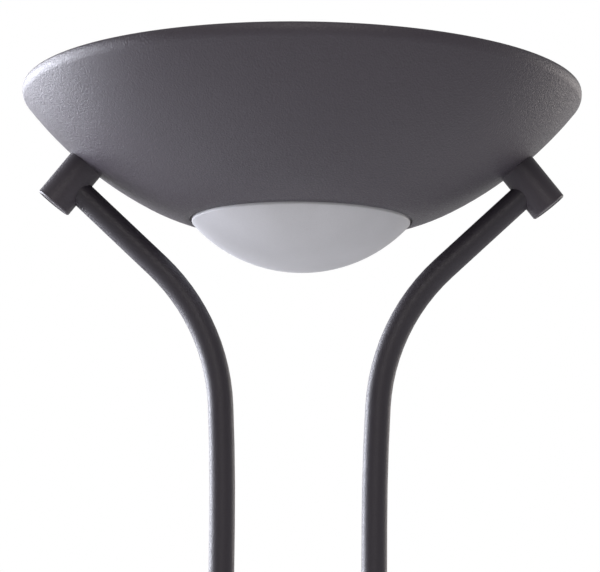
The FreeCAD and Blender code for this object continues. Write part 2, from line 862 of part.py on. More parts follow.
def make_upper_stem(word, side):
    """Bent tube: upright from the joint, then out and up into the side of its boss."""
    gentle_bottom, bend_bottom, bend_top = stem_turns()
    body = new_body("stem_upper_" + word)
    start_height = size.upper_joint_height - opening_height
    end = along_stem_end(1, -size.boss_stem_overrun, 0)
    spine = draw(sketch_on(body, "XZ_Plane"), [
        (side * half_spacing, start_height),
        (side * gentle_bottom[0], gentle_bottom[1], size.stem_gentle_bend, -side),
        (side * bend_bottom[0], bend_bottom[1], size.stem_bend, -side),
        (side * bend_top[0], bend_top[1]),
        (side * end[0], end[1])], closed=False)
    section = draw_circles(sketch_on(body, "XY_Plane", start_height), [
        (side * half_spacing, 0, stem_radius), (side * half_spacing, 0, stem_bore_radius)])
    tube = body.newObject("PartDesign::AdditivePipe", body.Name + "_tube")
    tube.Profile = section
    tube.Spine = (spine, [f"Edge{number}" for number in range(1, 5)])
    settle(body, tube)
    crossing = size.boss_stem_distance
    outside = crossing - stem_radius - size.stem_wall
    turn_on_boss(body, side, rectangle(outside, crossing, 0, stud_bore_radius), removes=True)
    return place(body, z=opening_height)


def make_stem_couplers():
    """Hollow threaded rods inside the stem joints."""
    couplers = []
    for word, side in SIDES:
        for height in (size.lower_joint_height, size.upper_joint_height):
            coupler = ring("stem_coupler", stud_bore_radius, stud_radius,
                           height - size.coupler_length / 2, height + size.coupler_length / 2)
            couplers.append(place(coupler, side * half_spacing))
    return group("stem_couplers", couplers)


def make_spreader(name, height):
    """Bar with a ring at each end that hides and stiffens a pair of stem joints."""
    hole = stem_radius + size.fit_gap
    outer = stem_radius + size.spreader_ring_wall
    half_bar = size.spreader_bar_thickness / 2
    neck = half_spacing - root(outer * outer - half_bar * half_bar)
    end = half_spacing + outer
    body = new_body(name)
    outline = [
        (-neck, -half_bar), (neck, -half_bar, outer, 1), (end, 0, outer, 1), (neck, half_bar),
        (-neck, half_bar, outer, 1), (-end, 0, outer, 1)]
    half_height = size.spreader_height / 2
    extrude(body, draw(sketch_on(body, "XY_Plane", -half_height), outline), size.spreader_height)
    drill(body, "XY_Plane", half_height, [(side * half_spacing, 0, hole) for word, side in SIDES],
          size.spreader_height)
    thread = size.medium_screw_diameter / 2 + size.thread_gap
    screws = [(side * half_spacing, up * size.spreader_screw_offset, thread)
              for word, side in SIDES for up in (-1, 1)]
    drill(body, "XZ_Plane", -stem_radius, screws, size.spreader_ring_wall * 2)
    return place(body, z=height)


def make_spreader_screws():
    screws = []
    for height in (size.lower_joint_height, size.upper_joint_height):
        for word, side in SIDES:
            for up in (-1, 1):
                screw = set_screw("spreader_screw", size.medium_screw_diameter, size.spreader_ring_wall - 0.4)
                screws.append(place(screw, side * half_spacing, stem_radius,
                                    height + up * size.spreader_screw_offset, (1, 0, 0), -90))
    return group("spreader_screws", screws)


# --- dimmer -----------------------------------------------------------------------------------------

dimmer_half_across = half_spacing + stem_radius + size.dimmer_beyond_stems
post_across = half_spacing - stem_radius - size.post_from_stem
post_up = size.dimmer_half_tall - size.dimmer_wall - size.post_from_end
post_places = [(post_across * across, post_up * up) for across in (-1, 1) for up in (-1, 1)]
post_screw_seat = size.dimmer_half_depth - size.post_screw_diameter
board_half_across = post_across - size.post_radius - size.board_post_gap
board_half_up = size.dimmer_half_tall - size.dimmer_wall - size.board_end_gap
screw_level = (knob_bottom + size.knob_hollow_depth + knob_top) / 2
terminal_face = board_half_across - size.dimmer_terminal_inset


def make_dimmer_shell(name, front):
    """Half of the dimmer's case, open where it meets the other half between the stems."""
    depth = size.dimmer_half_depth
    toward = 1 if front else -1
    body = new_body(name)
    block = draw(sketch_on(body, "XZ_Plane"),
                 rounded_rectangle(dimmer_half_across, size.dimmer_half_tall, size.dimmer_corner))
    pad = extrude(body, block, depth, backwards=not front)
    rim = [f"Edge{number}" for number, edge in enumerate(pad.Shape.Edges, start=1)
           if all(abs(vertex.Y + toward * depth.value) < 1e-6 for vertex in edge.Vertexes)]
    fillet = body.newObject("PartDesign::Fillet", name + "_edge")
    fillet.Base = (pad, rim)
    fillet.setExpression("Radius", size.dimmer_edge.text)
    fillet.Radius = size.dimmer_edge.value
    settle(body, fillet, removes=True)
    wall = size.dimmer_wall
    hollow = draw(sketch_on(body, "XZ_Plane"), rounded_rectangle(
        dimmer_half_across - wall, size.dimmer_half_tall - wall, size.dimmer_corner - wall))
    extrude(body, hollow, shell_inside, backwards=front, removes=True)
    posts = draw_circles(sketch_on(body, "XZ_Plane", shell_inside * toward),
                         [(x, z, size.post_radius) for x, z in post_places])
    extrude(body, posts, shell_inside, backwards=front)
    drill(body, "XY_Plane", size.dimmer_half_tall,
          [(side * half_spacing, 0, stem_radius + size.fit_gap) for word, side in SIDES],
          size.dimmer_half_tall * 2)
    return body


def make_dimmer_front_shell():
    body = make_dimmer_shell("dimmer_front_shell", True)
    pilot = size.post_screw_diameter / 2 + size.thread_gap
    depth = size.post_screw_length - post_screw_seat + size.hole_end_room
    drill(body, "XZ_Plane", 0, [(x, z, pilot) for x, z in post_places], depth, backwards=True)
    hole = size.control_bush_radius + size.fit_gap
    drill(body, "XZ_Plane", size.dimmer_half_depth, [(0, 0, hole)], size.dimmer_wall)
    return place(body, z=dimmer_level)


def make_dimmer_rear_shell():
    body = make_dimmer_shell("dimmer_rear_shell", False)
    hole = size.post_screw_diameter / 2 + size.fit_gap
    drill(body, "XZ_Plane", -size.dimmer_half_depth, [(x, z, hole) for x, z in post_places],
          size.dimmer_half_depth, backwards=True)
    head = size.post_screw_diameter * 0.95 + size.fit_gap
    drill(body, "XZ_Plane", -size.dimmer_half_depth, [(x, z, head) for x, z in post_places],
          size.post_screw_diameter, backwards=True)
    return place(body, z=dimmer_level)


def make_dimmer_screws():
    screws = []
    for x, z in post_places:
        screw = socket_screw("dimmer_screw", size.post_screw_diameter, size.post_screw_length)
        screws.append(place(screw, x, post_screw_seat, dimmer_level + z, (1, 0, 0), -90))
    return group("dimmer_screws", screws)


def face_front(body):
    """Turn a piece of the dimmer so that its own +Z points to the front."""
    return place(body, z=dimmer_level, axis=(1, 0, 0), angle=90)


shaft_hole_radius = size.shaft_radius + size.thread_gap


def make_dimmer_control():
    """Rotary dimmer with a push switch: a square case with a threaded bush."""
    half_width = size.control_width / 2
    body = block("dimmer_control", rectangle(-half_width, half_width, -half_width, half_width),
                 control_back, size.control_depth)
    spin(body, [(0, cavity_top), (size.control_bush_radius, cavity_top),
                (size.control_bush_radius, bush_end), (0, bush_end)])
    cavity = size.slider_radius + size.moving_gap
    spin(body, [(0, cavity_floor), (cavity, cavity_floor), (cavity, cavity_top),
                (shaft_hole_radius, cavity_top), (shaft_hole_radius, bush_end), (0, bush_end)], removes=True)
    return face_front(body)


def make_control_nut():
    body = hex_nut("control_nut", size.control_nut_across, size.control_nut_thickness,
                   size.control_bush_radius + size.thread_gap)
    return place(body, 0, -size.dimmer_half_depth, dimmer_level, (1, 0, 0), 90)


def make_switch_slider():
    """Carriage inside the control that slides in with the shaft and works the switch."""
    return face_front(ring("switch_slider", size.shaft_neck_radius + size.thread_gap, size.slider_radius,
                           slider_top - size.slider_thickness, slider_top))


def make_dimmer_shaft():
    """Round shaft that turns in the slider: a neck with a retaining collar on its end."""
    neck = size.shaft_neck_radius
    full = size.shaft_radius
    collar_top = slider_top - size.slider_thickness - size.moving_gap
    shoulder = slider_top + size.moving_gap
    collar_bottom = cavity_floor + size.push_travel + size.moving_gap / 2
    return face_front(turned("dimmer_shaft", [
        (0, collar_bottom), (full, collar_bottom), (full, collar_top), (neck, collar_top),
        (neck, shoulder), (full, shoulder), (full, shaft_end), (0, shaft_end)]))


POINTER_ANGLE = 225


def make_dimmer_knob():
    """Fluted knob with a pointer groove, hollow underneath to clear the control's nut."""
    radius = size.knob_radius
    edge = size.knob_chamfer
    upper = radius - size.knob_taper
    hollow_top = knob_bottom + size.knob_hollow_depth
    body = turned("dimmer_knob", [
        (shaft_hole_radius, hollow_top), (size.knob_hollow_radius, hollow_top),
        (size.knob_hollow_radius, knob_bottom), (radius, knob_bottom), (upper, knob_top - edge),
        (upper - edge, knob_top), (0, knob_top), (0, shaft_end + size.thread_gap),
        (shaft_hole_radius, shaft_end + size.thread_gap)])
    across = math.cos(math.radians(POINTER_ANGLE))
    up = math.sin(math.radians(POINTER_ANGLE))
    half_width = size.pointer_width / 2
    pointer = [(along * across - beside * up, along * up + beside * across)
               for along, beside in rectangle(size.pointer_start, radius, -half_width, half_width)]
    extrude(body, draw(sketch_on(body, "XY_Plane", knob_top), pointer), size.pointer_depth, removes=True)
    drill(body, "XZ_Plane", 0, [(0, screw_level, size.small_screw_diameter / 2 + size.thread_gap)],
          radius, backwards=True)
    flute = drill(body, "XY_Plane", knob_top, [(radius, 0, size.flute_radius)], size.flute_length)
    flutes = body.newObject("PartDesign::PolarPattern", "knob_flutes")
    flutes.Originals = [flute]
    axis = next(item for item in body.Origin.OriginFeatures if item.Role == "Z_Axis")
    flutes.Axis = (axis, [""])
    flutes.Angle = 360
    flutes.Occurrences = FLUTES
    body.Tip = flutes
    settle(body, flutes, removes=True, earlier=flute)
    return face_front(body)


def make_knob_screw():
    """Set screw that holds the knob on its shaft."""
    body = set_screw("knob_screw", size.small_screw_diameter, size.knob_screw_length)
    return place(body, 0, -screw_level, dimmer_level - size.shaft_radius - size.thread_gap,
                 (1, 0, 0), 180)


def make_dimmer_board():
    across, up = board_half_across, board_half_up
    return face_front(block("dimmer_board", rectangle(-across, across, -up, up),
                            board_back, size.board_thickness))


def make_dimmer_terminals():
    """Terminal strip on the back of the board, its wire entries towards the right stem."""
    half_up = board_half_up - size.dimmer_terminal_end_gap
    bottom = board_back - size.dimmer_terminal_depth
    body = block("dimmer_terminals",
                 rectangle(terminal_face - size.dimmer_terminal_width, terminal_face, -half_up, half_up),
                 bottom, size.dimmer_terminal_depth)
    wells = [(terminal_face - size.dimmer_terminal_width / 2, half_up / 4 * step, size.terminal_screw_radius)
             for step in (-3, -1, 1, 3)]
    drill(body, "XY_Plane", bottom, wells, size.terminal_screw_depth, backwards=True)
    return face_front(body)


def make_dimmer_components():
    """Choke, capacitor and power transistor in a column on the back of the board."""
    bottom = board_back - size.choke_length
    choke = ring("choke", size.choke_bore / 2, size.choke_radius, bottom, board_back)
    place(choke, -size.component_column, 0, dimmer_level + size.choke_radius * 2, (1, 0, 0), 90)
    parts = [choke]
    for name, width, thickness, length, up in (
            ("capacitor", size.capacitor_width, size.capacitor_thickness, size.capacitor_length, 0),
            ("triac", size.triac_width, size.triac_thickness, size.triac_length, -size.choke_radius * 2)):
        half_width, half_thickness = width / 2, thickness / 2
        part = block(name, rectangle(-half_width, half_width, -half_thickness, half_thickness),
                     board_back - length, length)
        place(part, -size.component_column, 0, dimmer_level + up, (1, 0, 0), 90)
        parts.append(part)
    return group("dimmer_components", parts)


# --- bowl, bosses and glass -------------------------------------------------------------------------


def make_shade_bowl():
    """Spun steel bowl of two sweeping arcs, a tight shoulder and an inward rolled rim."""
    wall = size.bowl_wall
    roll = size.rim_roll_bend
    full = measure(90)
    body = turned("shade_bowl", [
        (*on_slope(foot_centre, foot_bend, foot_angle), foot_bend, 1),
        (*on_slope(side_centre, side_bend, waist_angle), side_bend, 1),
        (*on_slope(side_centre, side_bend, shoulder_angle), shoulder_bend, 1),
        (*on_circle(roll_centre, roll, size.rim_roll_start), roll, 1),
        (*on_circle(roll_centre, roll, full), roll, 1),
        on_circle(roll_centre, roll, size.rim_roll_end),
        (*on_circle(roll_centre, roll - wall, size.rim_roll_end), roll - wall, -1),
        (*on_circle(roll_centre, roll - wall, full), roll - wall, -1),
        (*on_circle(roll_centre, roll - wall, size.rim_roll_start), shoulder_bend - wall, -1),
        (*on_slope(side_centre, side_bend - wall, shoulder_angle), side_bend - wall, -1),
        (*on_slope(side_centre, side_bend - wall, waist_angle), foot_bend - wall, -1),
        on_slope(foot_centre, foot_bend - wall, foot_angle)])
    for word, side in SIDES:
        turn_on_boss(body, side, rectangle(-wall * 2, wall, 0, thread_hole_radius), removes=True)
    return place(body, z=opening_height)


def make_boss(word, side):
    """Turned boss, shaped to the bowl at one end, cross-bored for its stem and capped at the other."""
    radius = size.boss_diameter / 2
    length = size.boss_length
    edge = size.boss_chamfer
    cap_seat = length - size.boss_cap_inset - size.boss_cap_thickness
    crossing = size.boss_stem_distance
    screw_hole = size.boss_screw_diameter / 2 + size.thread_gap
    nipple_hole = stud_radius + size.thread_gap
    root_end = -(radius * radius / side_bend)
    body = new_body("boss_" + word)
    turn_on_boss(body, side, [
        (root_end, nipple_hole), (root_end, radius), (length - edge, radius), (length, radius - edge),
        (length, size.boss_cap_radius), (cap_seat, size.boss_cap_radius), (cap_seat, screw_hole),
        (crossing, screw_hole), (crossing, nipple_hole)])
    spread = radius / side_bend.value * 90
    low = on_slope(side_centre, side_bend, size.boss_tilt - spread)
    high = on_slope(side_centre, side_bend, size.boss_tilt + spread)
    lift = size.boss_diameter
    spin(body, [(side * low[0], low[1], side_bend, side), (side * high[0], high[1]),
                (side * high[0], high[1] + lift), (side * low[0], high[1] + lift)], removes=True)
    hole = stem_radius + size.fit_gap
    stop = -(size.boss_stem_overrun + size.moving_gap)
    spin(body, [along_stem_end(side, stop, 0), along_stem_end(side, stop, hole),
                along_stem_end(side, radius * 2, hole), along_stem_end(side, radius * 2, 0)],
         [along_stem_end(side, 0, 0), along_stem_end(side, radius, 0)], removes=True)
    return place(body, z=opening_height)


def make_boss_fittings():
    """What is inside and above each boss: end cap, stem screw, hollow nipple, washer and nut."""
    caps, screws, nipples, washers, nuts = [], [], [], [], []
    crossing = size.boss_stem_distance
    for word, side in SIDES:
        cap = new_body("boss_cap")
        cap_bottom = size.boss_length - size.boss_cap_inset
        cap_radius = size.boss_cap_radius - size.thread_gap
        turn_on_boss(cap, side, rectangle(cap_bottom - size.boss_cap_thickness, cap_bottom, 0, cap_radius))
        caps.append(place(cap, z=opening_height))
        screw_radius = size.boss_screw_diameter / 2
        angle = size.boss_tilt + size.stem_lean
        screw_start = (crossing + (stem_radius + screw_radius * cosine(angle)) / sine(angle)
                       + size.thread_gap)
        screw_length = cap_bottom - size.boss_cap_thickness - size.boss_screw_recess - screw_start
        screw = set_screw("boss_screw", size.boss_screw_diameter, screw_length)
        x, z = along_boss(side, screw_start, 0)
        screws.append(place(screw, x, 0, opening_height + z, (0, 1, 0), 180 - size.boss_tilt * side))
        nipple = new_body("boss_nipple")
        turn_on_boss(nipple, side, rectangle(nipple_top, size.nipple_depth, stud_bore_radius, stud_radius))
        nipples.append(place(nipple, z=opening_height))
        washer = new_body("boss_washer")
        turn_on_boss(washer, side, rectangle(washer_top, tab_top, thread_hole_radius, size.washer_radius))
        washers.append(place(washer, z=opening_height))
        nut = hex_nut("boss_nut", size.nut_across_flats, size.nut_thickness, stud_radius + size.thread_gap)
        nuts.append(place_on_boss(nut, side, washer_top))
    return [group("boss_caps", caps), group("boss_screws", screws), group("boss_nipples", nipples),
            group("boss_washers", washers), group("boss_nuts", nuts)]


def make_glass_diffuser():
    """Frosted glass dish: a shallow dome below the bowl, a short neck and a flange that carries it."""
    wall = size.glass_wall
    dome_rise = size.glass_drop - size.glass_neck_drop
    dome = (neck_radius * neck_radius + dome_rise * dome_rise) / (dome_rise * 2)
    dome_centre = dome - size.glass_drop
    inner_neck = neck_radius - wall
    inner_dome = dome - wall
    inner_corner = dome_centre - root(inner_dome * inner_dome - inner_neck * inner_neck)
    body = turned("glass_diffuser", [
        (0, -size.glass_drop, dome, 1), (neck_radius, -size.glass_neck_drop),
        (neck_radius, gasket_top), (flange_radius, gasket_top),
        (flange_radius, glass_flange_top), (inner_neck, glass_flange_top),
        (inner_neck, inner_corner, inner_dome, -1), (0, wall - size.glass_drop)])
    return place(body, z=opening_height)


def make_glass_gasket():
    """Silicone ring, flat on top for the glass and shaped to the bowl underneath."""
    inner, outer = gasket_inner, gasket_outer
    body = turned("glass_gasket", [
        (inner, bowl_floor(inner), foot_bend - size.bowl_wall, 1), (outer, bowl_floor(outer)),
        (outer, gasket_top), (inner, gasket_top)])
    return place(body, z=opening_height)


# --- lamp inside the bowl ---------------------------------------------------------------------------


def make_lamp_bridge():
    """Steel strip across the bowl, its bent-up tabs held under the nuts of the bosses."""
    thick = size.bridge_thickness
    outer = size.bridge_tab_outside
    mitre = thick * tangent(size.boss_tilt / 2)
    bend = bridge_bend
    points = [(-bend[0], bend[1]), (bend[0], bend[1]), along_boss(1, tab_underside, outer),
              along_boss(1, tab_top, outer), (bend[0] - mitre, bridge_top), (mitre - bend[0], bridge_top),
              along_boss(-1, tab_top, outer), along_boss(-1, tab_underside, outer)]
    body = new_body("lamp_bridge")
    extrude(body, draw(sketch_on(body, "XZ_Plane"), points), size.bridge_width, both_ways=True)
    for word, side in SIDES:
        turn_on_boss(body, side, rectangle(tab_top - thick, tab_underside + thick, 0, thread_hole_radius),
                     removes=True)
    lamp_screw = size.medium_screw_diameter / 2 + size.thread_gap
    holder_screw = size.small_screw_diameter / 2 + size.thread_gap
    holes = [(x, 0, lamp_screw) for x in bridge_screw_places()]
    holes += [(side * holder_screw_place, 0, holder_screw) for word, side in SIDES]
    drill(body, "XY_Plane", bridge_top, holes, thick)
    return place(body, z=opening_height)


def bridge_screw_places():
    return [-size.bridge_screw_spacing, measure(0), size.bridge_screw_spacing]


def make_bridge_screws():
    """Screws that hold the reflector on the bridge; the middle one reaches the yoke."""
    screws = []
    seat = bridge_top + size.reflector_thickness
    reach = size.reflector_thickness + size.bridge_thickness + size.yoke_thickness
    for x in bridge_screw_places():
        screw = socket_screw("bridge_screw", size.medium_screw_diameter, reach)
        screws.append(place(screw, x, 0, opening_height + seat))
    return group("bridge_screws", screws)


yoke_top = bridge_bend[1]
yoke_foot_end = flange_radius - size.yoke_foot_inset
yoke_foot_start = yoke_foot_end - size.yoke_foot_length
yoke_foot_bottom = glass_flange_top + size.yoke_pad_thickness


def make_glass_yoke():
    """Spring strip under the bridge whose two feet hold the glass flange down."""
    thick = size.yoke_thickness
    flat = size.yoke_flat_half
    flat_bottom = yoke_top - thick
    mitre = thick * half_turn_tangent(yoke_foot_start - flat, flat_bottom - yoke_foot_bottom)
    right = [(flat, flat_bottom), (yoke_foot_start, yoke_foot_bottom), (yoke_foot_end, yoke_foot_bottom),
             (yoke_foot_end, yoke_foot_bottom + thick), (yoke_foot_start + mitre, yoke_foot_bottom + thick),
             (flat + mitre, yoke_top)]
    left = [(-y, z) for y, z in reversed(right)]
    body = new_body("glass_yoke")
    extrude(body, draw(sketch_on(body, "YZ_Plane"), right + left), size.yoke_width, both_ways=True)
    drill(body, "XY_Plane", yoke_top, [(0, 0, size.medium_screw_diameter / 2 + size.thread_gap)], thick)
    return place(body, z=opening_height)


def make_yoke_pads():
    """Silicone pads between the yoke's feet and the glass."""
    pads = []
    half_width = size.yoke_width / 2 - size.yoke_pad_margin
    half_length = size.yoke_foot_length / 2 - size.yoke_pad_margin
    middle = (yoke_foot_start + yoke_foot_end) / 2
    for side in (-1, 1):
        pad = block("yoke_pad", rectangle(-half_width, half_width, -half_length, half_length),
                    glass_flange_top, size.yoke_pad_thickness)
        pads.append(place(pad, 0, middle * side, opening_height))
    return group("yoke_pads", pads)


def make_reflector():
    """Bright sheet trough under the lamp, with two rows of holes that let light down to the glass."""
    thick = size.reflector_thickness
    floor = size.reflector_floor_half
    mouth = size.reflector_mouth_half
    lip = mouth + size.reflector_lip
    depth = size.reflector_depth
    mitre = thick * half_turn_tangent(mouth - floor, depth)
    right = [(floor, 0), (mouth, depth), (lip, depth), (lip, depth + thick),
             (mouth - mitre, depth + thick), (floor - mitre, thick)]
    left = [(-y, z) for y, z in reversed(right)]
    body = new_body("reflector")
    extrude(body, draw(sketch_on(body, "YZ_Plane"), right + left), reflector_half_length * 2,
            both_ways=True)
    holes = [(x, 0, size.medium_screw_diameter / 2 + size.fit_gap) for x in bridge_screw_places()]
    for step in range(LIGHT_HOLES_PER_SIDE):
        along = size.light_hole_start + size.light_hole_spacing * step
        holes += [(side * along, row * size.light_hole_row, size.light_hole_radius)
                  for side in (-1, 1) for row in (-1, 1)]
    drill(body, "XY_Plane", thick, holes, thick)
    return place(body, z=opening_height + bridge_top)


def make_safety_glass():
    """Toughened pane that lies on the reflector's lips over the lamp."""
    half_y = size.reflector_mouth_half + size.reflector_lip - size.cover_glass_inset
    body = block("safety_glass", rounded_rectangle(reflector_half_length, half_y,
                                                   size.cover_glass_corner),
                 0, size.cover_glass_thickness)
    return place(body, z=opening_height + cover_glass_bottom)


def make_safety_clips():
    """Sheet clips that pinch the pane and the reflector's lip together."""
    thick = size.clip_thickness
    inside = size.reflector_mouth_half + size.reflector_lip + size.thread_gap
    under = -size.reflector_thickness
    top = size.cover_glass_thickness
    above = inside - size.clip_over_reach
    below = inside - size.clip_under_reach
    clips = []
    for side in (-1, 1):
        clip = new_body("safety_clip")
        points = [(below, under - thick), (inside + thick, under - thick), (inside + thick, top + thick),
                  (above, top + thick), (above, top), (inside, top), (inside, under), (below, under)]
        extrude(clip, draw(sketch_on(clip, "YZ_Plane"), [(side * y, z) for y, z in points]),
                size.clip_width, both_ways=True)
        clips.append(place(clip, z=opening_height + cover_glass_bottom))
    return group("safety_clips", clips)


bulb_line = [(0, bulb_axis), (size.bulb_half_length, bulb_axis)]


def turn_on_bulb(body, side, points, removes=False):
    """Turn an outline of (along, out) points about the lamp's axis."""
    return spin(body, [(side * along, bulb_axis + out) for along, out in points], bulb_line, removes)


def make_bulb_tube():
    """Quartz tube of the halogen lamp, pinched at both ends."""
    radius = size.bulb_radius
    pinch = size.bulb_pinch_radius
    shoulder = bulb_shoulder_half
    taper_end = shoulder + radius - pinch
    body = new_body("bulb_tube")
    turn_on_bulb(body, 1, [
        (-bulb_pinch_half, 0), (-bulb_pinch_half, pinch), (-taper_end, pinch),
        (-shoulder, radius), (shoulder, radius), (taper_end, pinch), (bulb_pinch_half, pinch),
        (bulb_pinch_half, 0)])
    inner = shoulder - size.bulb_wall
    turn_on_bulb(body, 1, rectangle(-inner, inner, 0, radius - size.bulb_wall), removes=True)
    return place(body, z=opening_height)


def make_bulb_ends():
    """Ceramic caps of the lamp."""
    ends = []
    start = size.bulb_half_length - size.bulb_end_length
    for word, side in SIDES:
        end = new_body("bulb_end")
        bore = size.bulb_pinch_radius + size.thread_gap
        bore_end = bulb_pinch_half + size.thread_gap
        turn_on_bulb(end, side, [
            (start, bore), (start, size.bulb_end_radius), (size.bulb_half_length, size.bulb_end_radius),
            (size.bulb_half_length, 0), (bore_end, 0), (bore_end, bore)])
        ends.append(place(end, z=opening_height))
    return group("bulb_ends", ends)


socket_floor = holder_inner_face + size.holder_socket_depth
collar_start = socket_floor + size.holder_wall + size.moving_gap
collar_end = collar_start + size.contact_collar_thickness


def make_lamp_holder(word, side):
    """Ceramic lamp holder with a foot, and a stepped bore for the lamp's end and its contact."""
    inner = holder_inner_face
    top = bulb_axis + size.holder_above_bulb
    foot_top = bridge_top + size.holder_foot_height
    foot_end = holder_outer_face + size.holder_foot_length
    points = [(inner, bridge_top), (foot_end, bridge_top), (foot_end, foot_top),
              (holder_outer_face, foot_top), (holder_outer_face, top), (inner, top)]
    body = new_body("lamp_holder_" + word)
    extrude(body, draw(sketch_on(body, "XZ_Plane"), [(side * x, z) for x, z in points]),
            size.holder_width, both_ways=True)
    bore = size.contact_radius + size.thread_gap
    room = size.contact_collar_radius + size.moving_gap
    room_start = socket_floor + size.holder_wall
    room_end = collar_end + size.contact_tail_length + size.contact_travel + size.moving_gap
    turn_on_bulb(body, side, [
        (inner, 0), (inner, size.holder_socket_radius), (socket_floor, size.holder_socket_radius),
        (socket_floor, bore), (room_start, bore), (room_start, room), (room_end, room), (room_end, 0)],
        removes=True)
    drill(body, "XY_Plane", foot_top,
          [(side * holder_screw_place, 0, size.small_screw_diameter / 2 + size.fit_gap)],
          size.holder_foot_height)
    return place(body, z=opening_height)


def make_contact(word, side):
    """Sprung contact that presses on the lamp's end and slides outwards when a lamp is put in."""
    tip = size.bulb_half_length + size.contact_gap
    radius = size.contact_radius
    collar = size.contact_collar_radius
    tail = collar_end + size.contact_tail_length
    tail_radius = size.contact_tail_radius
    body = new_body("contact_" + word)
    turn_on_bulb(body, side, [
        (tip, 0), (tip, radius), (collar_start, radius), (collar_start, collar), (collar_end, collar),
        (collar_end, tail_radius), (tail, tail_radius), (tail, 0)])
    return place(body, z=opening_height)


def make_holder_screws():
    screws = []
    seat = bridge_top + size.holder_foot_height
    for word, side in SIDES:
        screw = socket_screw("holder_screw", size.small_screw_diameter,
                             size.holder_foot_height + size.bridge_thickness)
        screws.append(place(screw, side * holder_screw_place, 0, opening_height + seat))
    return group("holder_screws", screws)


# --- inner lead and wires ---------------------------------------------------------------------------


def straight_run(start, end):
    """A straight edge, or none where two arcs meet directly."""
    if (end - start).Length < 0.001:
        return []
    return [Part.LineSegment(start, end).toShape()]


def rounded_path(points, radii):
    """A wire of straight runs joined by tangent arcs, one radius for each inner point."""
    edges = []
    start = points[0]
    for previous, corner, following, radius in zip(points, points[1:], points[2:], radii):
        back = (previous - corner).normalize()
        ahead = (following - corner).normalize()
        half_angle = back.getAngle(ahead) / 2
        reach = radius / math.tan(half_angle)
        centre = corner + (back + ahead).normalize() * (radius / math.sin(half_angle))
        first = corner + back * reach
        last = corner + ahead * reach
        middle = centre + (corner - centre).normalize() * radius
        edges += straight_run(start, first)
        edges.append(Part.Arc(first, middle, last).toShape())
        start = last
    edges += straight_run(start, points[-1])
    return Part.Wire(edges)


def tube_along(path, diameter):
    """A round solid along a path; its volume has to be its section times its length."""
    start = path.Edges[0]
    circle = Part.Circle(start.valueAt(start.FirstParameter), start.tangentAt(start.FirstParameter),
                         diameter / 2)
    solid = path.makePipeShell([Part.Wire(circle.toShape())], True, True)
    expected = math.pi * diameter ** 2 / 4 * path.Length
    if abs(solid.Volume / expected - 1) > 0.005:
        raise ValueError(f"lead volume {solid.Volume:.1f}, expected {expected:.1f}")
    return solid


def lead_feature(name, routes, diameter):
    """A lead as one feature with a solid for each route; a route is its points and its radii."""
    solids = [tube_along(rounded_path(points, radii), diameter.value) for points, radii in routes]
    feature = doc.addObject("Part::Feature", name)
    feature.Label = name
    feature.Shape = solids[0] if len(solids) == 1 else Part.makeCompound(solids)
    return feature


def in_front_plane(x, z):
    return FreeCAD.Vector(measure(x).value, 0, measure(z).value)


def make_lead_lower():
    """From the terminals in the base up the right stem to the dimmer."""
    outlet = dimmer_level - size.lead_offset
    points = [in_front_plane(size.terminal_length / 2, lead_floor), in_front_plane(half_spacing, lead_floor),
              in_front_plane(half_spacing, outlet), in_front_plane(terminal_face, outlet)]
    return lead_feature("lead_lower", [(points, [size.lead_bend.value] * 2)], size.lead_diameter)


lead_end = nipple_top - size.lead_tail


def make_lead_upper():
    """From the dimmer up the right stem, round into the boss and out of its nipple in the bowl."""
    inlet = dimmer_level + size.lead_offset
    gentle_bottom, bend_bottom, bend_top = stem_turns()
    gentle = size.stem_gentle_angle
    gentle_reach = size.stem_gentle_bend * tangent(gentle / 2)
    bend_reach = size.stem_bend * tangent((size.stem_lean - gentle) / 2)
    main_corner = (bend_bottom[0] + bend_reach * sine(gentle), bend_bottom[1] + bend_reach * cosine(gentle))
    end = along_boss(1, lead_end, 0)
    points = [in_front_plane(terminal_face, inlet), in_front_plane(half_spacing, inlet),
              in_front_plane(half_spacing, opening_height + gentle_bottom[1] + gentle_reach),
              in_front_plane(main_corner[0], opening_height + main_corner[1]),
              in_front_plane(joint[0], opening_height + joint[1]),
              in_front_plane(end[0], opening_height + end[1])]
    radii = [size.lead_bend.value, size.stem_gentle_bend.value, size.stem_bend.value,
             size.lead_boss_bend.value]
    return lead_feature("lead_upper", [(points, radii)], size.lead_diameter)


def make_holder_wires():
    """Two heat-proof wires from the end of the lead to the backs of the lamp holders."""
    half = size.wire_diameter.value / 2 + size.thread_gap.value
    level = opening_height.value
    face = holder_outer_face.value
    entry = bulb_axis.value + 4
    beside = size.bridge_width.value / 2 + size.wire_diameter.value * 2
    under = yoke_top.value - size.yoke_thickness.value - size.wire_diameter.value
    over = bridge_top.value + 5
    turn_x = face + 14
    end_x, end_z = [along.value for along in along_boss(1, lead_end, 0)]
    short_x, short_z = [along.value for along in along_boss(1, lead_end - 8, 0)]
    long_x, long_z = [along.value for along in along_boss(1, lead_end - 7, 0)]
    short = [(end_x, -half, end_z), (short_x, -half, short_z), (short_x - 11, -half * 2, entry),
             (face, -half * 2, entry)]
    long = [(end_x, half, end_z), (long_x, half, long_z), (long_x - 7.5, half * 6, long_z - 1.5),
            (turn_x, beside, over), (face - 7, beside + 1, under), (7 - face, beside + 1, under),
            (-turn_x, beside, over), (-turn_x - 3, half * 2, entry), (-face, half * 2, entry)]
    routes = []
    for places in (short, long):
        points = [FreeCAD.Vector(x, y, z + level) for x, y, z in places]
        radii = []
        for previous, corner, following in zip(points, points[1:], points[2:]):
            turn = math.pi - (previous - corner).getAngle(following - corner)
            run = min((previous - corner).Length, (following - corner).Length)
            radii.append(min(0.45 * run / math.tan(turn / 2), 40))
        routes.append((points, radii))
    return lead_feature("holder_wires", routes, size.wire_diameter)


# --- build, check and write -------------------------------------------------------------------------


